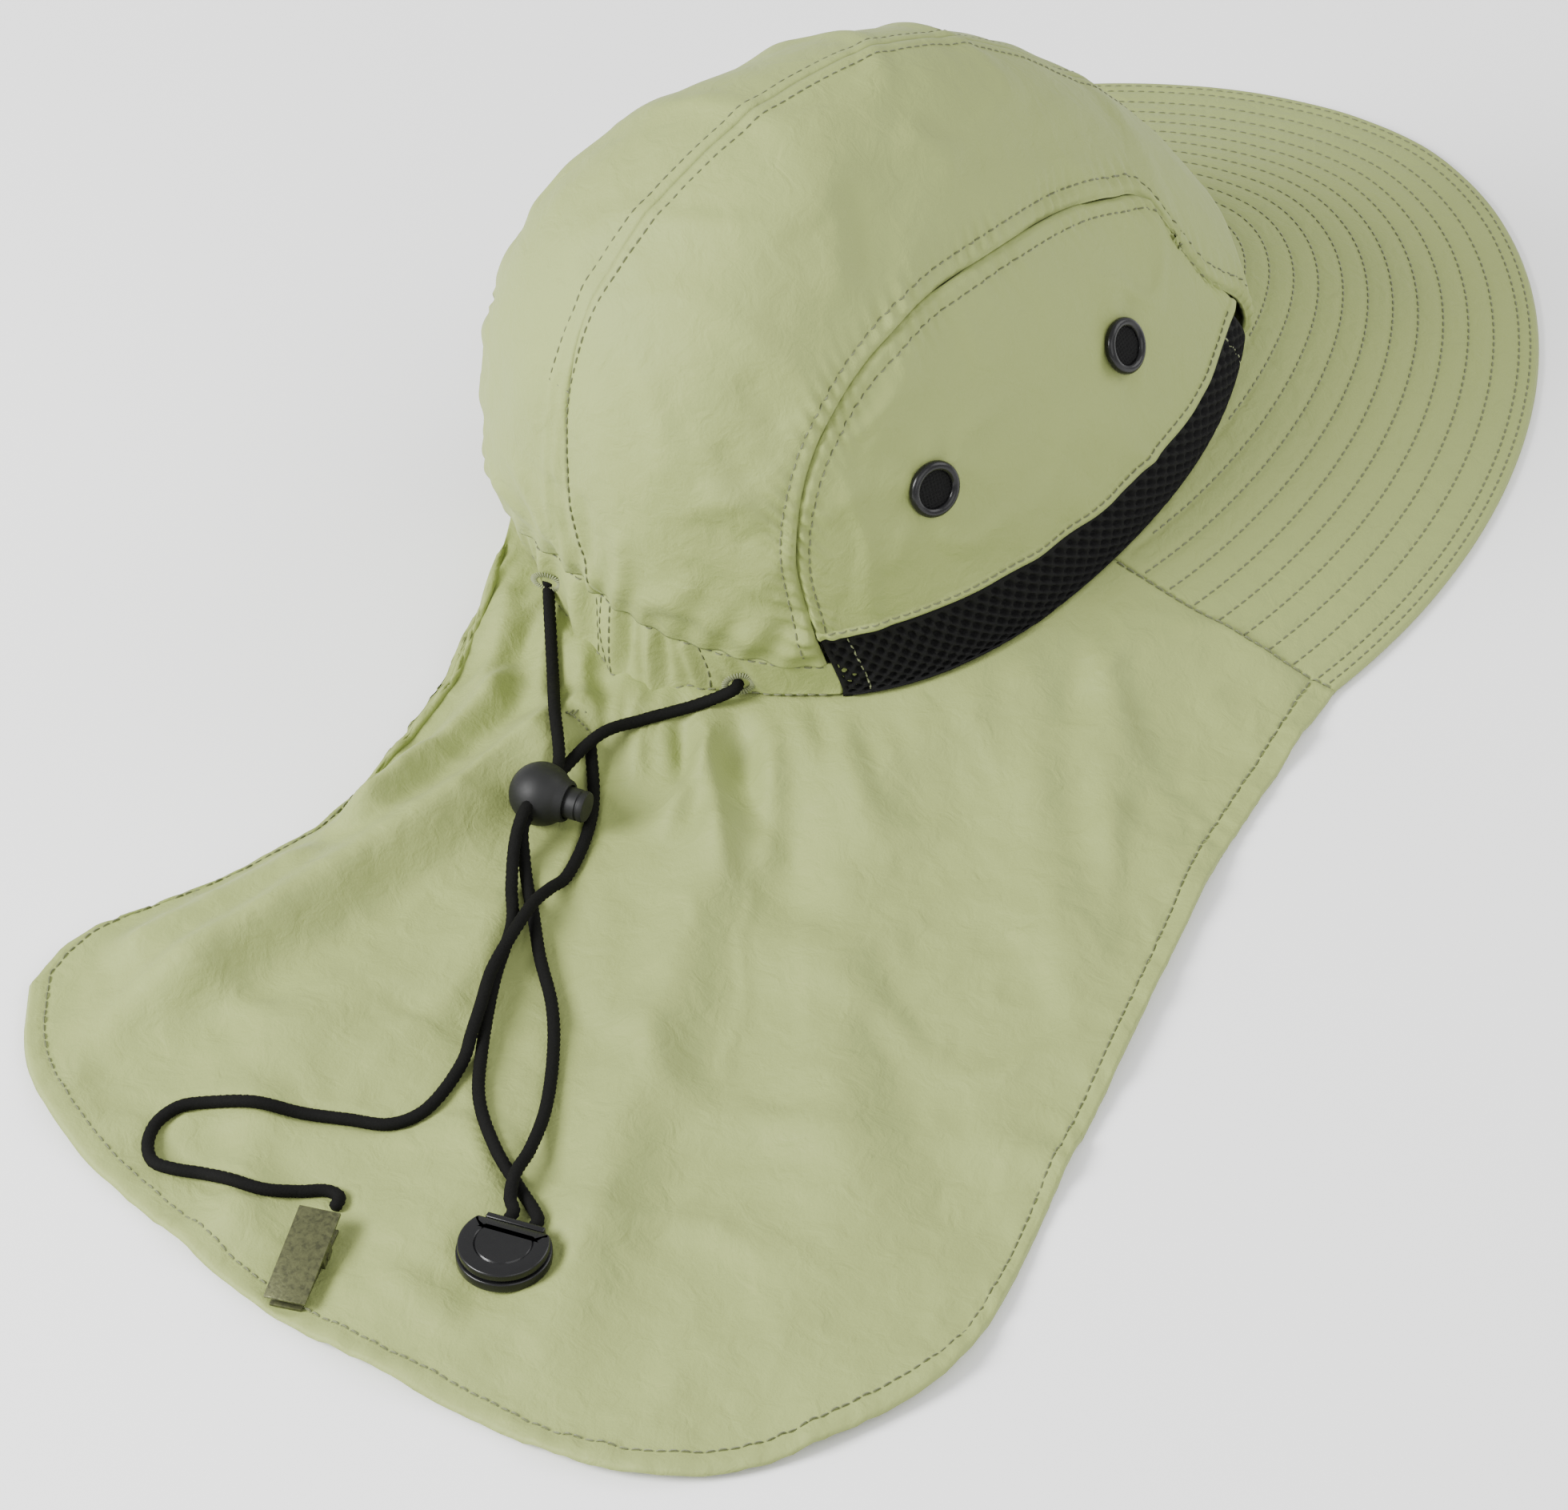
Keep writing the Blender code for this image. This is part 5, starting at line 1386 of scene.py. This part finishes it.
class HAT_OT_back_band(HatOperator, bpy.types.Operator):
    """Gathers the back band and works its buttonholes"""
    bl_idname = "hat.back_band"
    bl_label = "Back Band"

    def make(self, sizes, colours):
        bm, u, v = grid_verts(420, 26)
        lay(bm, band_shape(u, v))
        wall(bm, from_core)
        made = add_piece("gathered_back_band", bm, cloth_material(colours))
        thicken(made, CLOTH)
        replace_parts(made, "back_band")
        rows = bmesh.new()
        span = 360.0 - 2 * BAND_BACK
        for degrees in (177.0, 179.3, 181.8, 199.0):
            v = np.linspace(0.06, 0.94, 30)
            u = np.full_like(v, (degrees - BAND_BACK) / span)
            spots = band_shape(u, v)
            stitch(rows, spots, self.out(spots), sizes)
        u = np.linspace(0.05, 0.95, 300)
        for at in (0.06, 0.94):
            spots = band_shape(u, np.full_like(u, at))
            stitch(rows, spots, self.out(spots), sizes)
        add_piece("back_band_stitching", rows, thread_material(colours))
        holes = bmesh.new()
        for side in BUTTONHOLES:
            self.worked(holes, *buttonhole(side))
        add_piece("buttonhole_stitching", holes,
                  material("pale_thread", thread_finish, (0.200, 0.225, 0.105)))

    def out(self, spots):
        away = spots * np.array([1.0, 1.0, 0.0])
        return away / np.linalg.norm(away, axis=1, keepdims=True)

    def worked(self, bm, here, along, above, out):
        """An oval of close stitches round the hole that a cord comes out of."""
        here = here + out * 0.0003
        for k in range(34):
            a = 2 * math.pi * k / 34
            way = along * math.cos(a) + above * math.sin(a)
            base = here + along * math.cos(a) * 0.0034 + above * math.sin(a) * 0.0024
            thread(bm, base - way * 0.0009, base + way * 0.0010, out, 0.00060)


class HAT_OT_brim(HatOperator, bpy.types.Operator):
    """Sews the stiff brim with its rings of stitching"""
    bl_idname = "hat.brim"
    bl_label = "Brim"

    def make(self, sizes, colours):
        bm, u, v = grid_verts(250, 116)
        lay(bm, brim_shape(u, v))
        wall(bm, upwards)
        made = add_piece("stitched_brim", bm, cloth_material(colours))
        thicken(made, BRIM_THICK * 0.5)
        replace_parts(made, "brim")
        rows = bmesh.new()
        u = np.linspace(0.004, 0.996, 700)
        edge, inner = brim_place(u, np.ones_like(u)), brim_place(u, np.zeros_like(u))
        room = np.linalg.norm(edge - inner, axis=1)
        rings = [BRIM_FIRST_ROW + k * BRIM_ROW_STEP for k in range(BRIM_ROWS)] + [0.0024]
        for at in rings:
            free = room - at > 0.0055
            for part in np.split(np.arange(len(u)), np.where(np.diff(free.astype(int)))[0] + 1):
                if free[part[0]] and len(part) > 12:
                    spots = brim_shape(u[part], 1 - at / room[part])
                    stitch(rows, spots, np.tile([0.0, 0.0, 1.0], (len(part), 1)), sizes)
        add_piece("brim_stitching", rows, thread_material(colours))


class HAT_OT_flap(HatOperator, bpy.types.Operator):
    """Lays the neck flap with its folds, hem and slit"""
    bl_idname = "hat.flap"
    bl_label = "Neck Flap"

    def make(self, sizes, colours):
        bm, u, v = grid_verts(340, 104)
        v = 1 - (1 - v) ** 1.12
        lay(bm, flap_shape(u, v))
        wall(bm, upwards)
        made = add_piece("laid_neck_flap", bm, cloth_material(colours))
        thicken(made, CLOTH * 0.6)
        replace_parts(made, "neck_flap")
        rows = bmesh.new()
        u = np.linspace(0.004, 0.80, 900)
        x1, y1, _ = flap_flat(u, np.ones_like(u))
        x0, y0, _ = flap_flat(u, np.full_like(u, 0.97))
        v = 1 - 0.03 * HEM_ROW / np.hypot(x1 - x0, y1 - y0)
        spots = flap_shape(u, np.clip(v, 0.5, 1.0))
        spots[:, 2] += 0.00030
        stitch(rows, spots, np.tile([0.0, 0.0, 1.0], (len(u), 1)), sizes)
        v = np.linspace(0.06, 0.985, 200)
        for at in (0.0012,):
            spots = flap_shape(np.full_like(v, at), v)
            spots[:, 2] += 0.0002
            stitch(rows, spots, np.tile([0.0, 0.0, 1.0], (len(v), 1)), sizes)
        self.slit(rows)
        add_piece("flap_stitching", rows, thread_material(colours))

    def slit(self, bm):
        """The bar-tacked slit that the clip's cord comes out of."""
        (x0, y0), (x1, y1) = SLIT
        along = Vector((x1 - x0, y1 - y0, 0.0))
        way = along.normalized()
        side = Vector((-way.y, way.x, 0.0))
        for offset in (-0.0016, 0.0016):
            for k in range(16):
                self.tack(bm, Vector((x0, y0, 0.0)) + way * (k + 0.1) * along.length / 16
                          + side * offset, way * along.length / 20)
        for share in (0.02, 0.07, 0.12, 0.88, 0.93, 0.98):
            self.tack(bm, Vector((x0, y0, 0.0)) + along * share - side * 0.0018, side * 0.0036)

    def tack(self, bm, start, way):
        ends = [start, start + way]
        height = skirt_height(np.array([p.x for p in ends]), np.array([p.y for p in ends]), CLOTH)
        a, b = (Vector((p.x, p.y, h + 0.0006)) for p, h in zip(ends, height))
        thread(bm, a, b, Vector((0, 0, 1)), 0.00065)


class HAT_OT_cord_lock(HatOperator, bpy.types.Operator):
    """Moulds the ball-shaped cord lock and its button"""
    bl_idname = "hat.cord_lock"
    bl_label = "Cord Lock"

    def make(self, sizes, colours):
        matte = material("grey_matte", plastic_finish, tuple(colours.lock), 0.55, 0.0, 0.3)
        lock = placed(LOCK_PLACE, LOCK_TURN, LOCK_RADIUS, 0.75 * LOCK_RADIUS)
        across = lock @ Matrix.Rotation(math.radians(-90), 4, "X")
        ball = [(LOCK_RADIUS * math.sin(a), -LOCK_RADIUS * math.cos(a))
                for a in (math.pi * k / 40 for k in range(0, 31))]
        lip = BUTTON_RADIUS + 0.0010
        ball += [(lip + 0.0003, 0.0068), (lip, 0.0072), (BUTTON_RADIUS + 0.0004, 0.0072),
                 (BUTTON_RADIUS + 0.0003, 0.0068), (BUTTON_RADIUS + 0.0003, 0.0018),
                 (0.0, 0.0018)]
        body = spun("moulded_lock_body", ball, 56, matte, across)
        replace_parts(body, "cord_lock_body")
        tip = LOCK_RADIUS + BUTTON_STANDS_OUT
        knob = [(0.0, 0.0047), (BUTTON_RADIUS, 0.0047), (BUTTON_RADIUS, tip - 0.0022),
                (BUTTON_RADIUS - 0.0003, tip - 0.0020), (BUTTON_RADIUS - 0.0003, tip - 0.0017),
                (BUTTON_RADIUS, tip - 0.0015), (BUTTON_RADIUS, tip - 0.0007),
                (BUTTON_RADIUS - 0.0002, tip - 0.0002), (BUTTON_RADIUS - 0.0008, tip),
                (0.0, tip - 0.0002)]
        button = spun("moulded_lock_button", knob, 40, matte, across, "lock_button")
        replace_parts(button, "cord_lock_button")


class HAT_OT_snap_clip(HatOperator, bpy.types.Operator):
    """Moulds the D-shaped plastic clip and its lid"""
    bl_idname = "hat.snap_clip"
    bl_label = "Plastic Clip"

    def make(self, sizes, colours):
        gloss = material("black_gloss", plastic_finish, tuple(colours.gloss), 0.28, 0.1, 0.28)
        snap = placed(SNAP_PLACE, SNAP_TURN, 0.0, SNAP_RADIUS)
        base = self.plate(SNAP_RADIUS, SNAP_FLAT, 0.0, SNAP_BASE_THICK, 0.0004)
        self.bar(base)
        bmesh.ops.transform(base, matrix=snap, verts=base.verts)
        made = add_piece("moulded_clip_base", base, gloss)
        made.data.set_sharp_from_angle(angle=math.radians(30))
        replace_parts(made, "snap_clip_base")
        low = SNAP_BASE_THICK + SEAT_GAP
        lid = self.plate(LID_RADIUS, SNAP_FLAT - SNAP_BAR - SEAT_GAP, low, SNAP_LID_THICK, 0.0005)
        top = max(lid.faces, key=lambda f: f.calc_center_median().z if f.normal.z > 0.9 else -1)
        ring = bmesh.ops.inset_individual(lid, faces=[top], thickness=0.0030)
        inner = bmesh.ops.inset_individual(lid, faces=[top], thickness=0.0003, depth=-0.0003)
        bmesh.ops.inset_individual(lid, faces=[top], thickness=0.0003, depth=0.0003)
        bmesh.ops.transform(lid, matrix=snap, verts=lid.verts)
        made = add_piece("moulded_clip_lid", lid, gloss, "snap_lid")
        made.data.set_sharp_from_angle(angle=math.radians(30))
        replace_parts(made, "snap_clip_lid")

    def plate(self, radius, flat, low, thick, edge):
        start = math.acos(flat / radius)
        bm = bmesh.new()
        steps = 44
        rim = [bm.verts.new((radius * math.cos(start + (2 * math.pi - 2 * start) * i / steps),
                             radius * math.sin(start + (2 * math.pi - 2 * start) * i / steps),
                             low)) for i in range(steps + 1)]
        face = bm.faces.new(rim)
        lifted = bmesh.ops.extrude_face_region(bm, geom=[face])
        verts = [g for g in lifted["geom"] if isinstance(g, bmesh.types.BMVert)]
        bmesh.ops.translate(bm, vec=(0, 0, thick), verts=verts)
        bmesh.ops.recalc_face_normals(bm, faces=bm.faces)
        around = [e for e in bm.edges if e.calc_face_angle(0) > 1.0]
        bmesh.ops.bevel(bm, geom=around, offset=edge, offset_type="OFFSET", segments=3,
                        profile=0.5, affect="EDGES", material=-1)
        return bm

    def bar(self, bm):
        made = bmesh.ops.create_cube(bm, size=1.0)
        size = (SNAP_BAR, 1.3 * SNAP_RADIUS, SNAP_BASE_THICK + SNAP_LID_THICK)
        bmesh.ops.scale(bm, vec=size, verts=made["verts"])
        bmesh.ops.translate(bm, vec=(SNAP_FLAT - SNAP_BAR / 2, 0, size[2] / 2),
                            verts=made["verts"])
        edges = {e for v in made["verts"] for e in v.link_edges}
        bmesh.ops.bevel(bm, geom=list(edges), offset=0.0004, offset_type="OFFSET", segments=3,
                        profile=0.5, affect="EDGES", material=-1)


class HAT_OT_brass_clip(HatOperator, bpy.types.Operator):
    """Folds the small brass clip from its two sprung plates"""
    bl_idname = "hat.brass_clip"
    bl_label = "Brass Clip"

    def make(self, sizes, colours):
        brass = material("antique_brass", brass_finish, tuple(colours.brass))
        jaw = placed(JAW_PLACE, JAW_TURN, 0.0, JAW_LENGTH / 2)
        pin_at, pin_height = -JAW_LENGTH / 2 + JAW_TAIL, JAW_THICK + JAW_EAR / 2
        tilted = jaw @ Matrix.Translation((pin_at, 0, pin_height)) @ \
            Matrix.Rotation(math.radians(JAW_TILT), 4, "Y")
        inner = JAW_WIDTH - 2 * (JAW_THICK + SEAT_GAP)
        lower = bmesh.new()
        self.block(lower, (JAW_LENGTH, inner, JAW_THICK), (0, 0, JAW_THICK / 2))
        for way in (1, -1):
            self.block(lower, (1.2 * JAW_EAR, JAW_THICK, 0.8 * JAW_EAR),
                       (pin_at, way * (inner - JAW_THICK) / 2, JAW_THICK + 0.35 * JAW_EAR))
        half = JAW_WIDTH / 2 + 0.4 * JAW_THICK
        pin = bmesh.ops.create_cone(lower, cap_ends=True, segments=20, radius1=JAW_PIN_RADIUS,
                                    radius2=JAW_PIN_RADIUS, depth=2 * half)
        bmesh.ops.rotate(lower, cent=(0, 0, 0), matrix=Matrix.Rotation(math.pi / 2, 3, "X"),
                         verts=pin["verts"])
        bmesh.ops.translate(lower, vec=(pin_at, 0, pin_height), verts=pin["verts"])
        bmesh.ops.transform(lower, matrix=jaw, verts=lower.verts)
        made = add_piece("folded_clip_lower", lower, brass)
        made.data.set_sharp_from_angle(angle=math.radians(30))
        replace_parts(made, "brass_clip_lower")
        upper = bmesh.new()
        self.block(upper, (JAW_LENGTH, JAW_WIDTH, JAW_THICK),
                   (-pin_at, 0, JAW_EAR / 2 + JAW_THICK / 2))
        for way in (1, -1):
            self.block(upper, (1.3 * JAW_EAR, JAW_THICK, JAW_EAR),
                       (0, way * (JAW_WIDTH - JAW_THICK) / 2, JAW_THICK / 2))
        bmesh.ops.transform(upper, matrix=tilted, verts=upper.verts)
        made = add_piece("folded_clip_upper", upper, brass, "clip_jaw")
        made.data.set_sharp_from_angle(angle=math.radians(30))
        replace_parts(made, "brass_clip_upper")

    def block(self, bm, size, centre):
        made = bmesh.ops.create_cube(bm, size=1.0)
        bmesh.ops.scale(bm, vec=size, verts=made["verts"])
        bmesh.ops.translate(bm, vec=centre, verts=made["verts"])
        edges = {e for v in made["verts"] for e in v.link_edges}
        bmesh.ops.bevel(bm, geom=list(edges), offset=0.0002, offset_type="OFFSET", segments=2,
                        profile=0.5, affect="EDGES", material=-1)


class HAT_PT_panel(bpy.types.Panel):
    """Lists the hat's pieces, sizes and colours"""
    bl_label = "Flap Sun Hat"
    bl_idname = "HAT_PT_panel"
    bl_space_type = "VIEW_3D"
    bl_region_type = "UI"
    bl_category = "Sun Hat"

    def draw(self, context):
        for group in (context.scene.hat_sizes, context.scene.hat_colours):
            for name in group.bl_rna.properties.keys():
                if name not in ("rna_type", "name"):
                    self.layout.prop(group, name)
        for step in STEPS:
            self.layout.operator(step.bl_idname)


STEPS = (HAT_OT_stage, HAT_OT_cords, HAT_OT_crown, HAT_OT_sides, HAT_OT_mesh_bands,
         HAT_OT_eyelets, HAT_OT_back_band, HAT_OT_brim, HAT_OT_flap, HAT_OT_cord_lock,
         HAT_OT_snap_clip, HAT_OT_brass_clip)
CLASSES = (HatSizes, HatColours, *STEPS, HAT_PT_panel)


def register():
    for item in CLASSES:
        bpy.utils.register_class(item)
    bpy.types.Scene.hat_sizes = PointerProperty(type=HatSizes)
    bpy.types.Scene.hat_colours = PointerProperty(type=HatColours)


def unregister():
    del bpy.types.Scene.hat_colours
    del bpy.types.Scene.hat_sizes
    for item in reversed(CLASSES):
        bpy.utils.unregister_class(item)


def main():
    register()
    for step in STEPS:
        group, name = step.bl_idname.split(".")
        getattr(getattr(bpy.ops, group), name)()


if __name__ == "__main__":
    main()
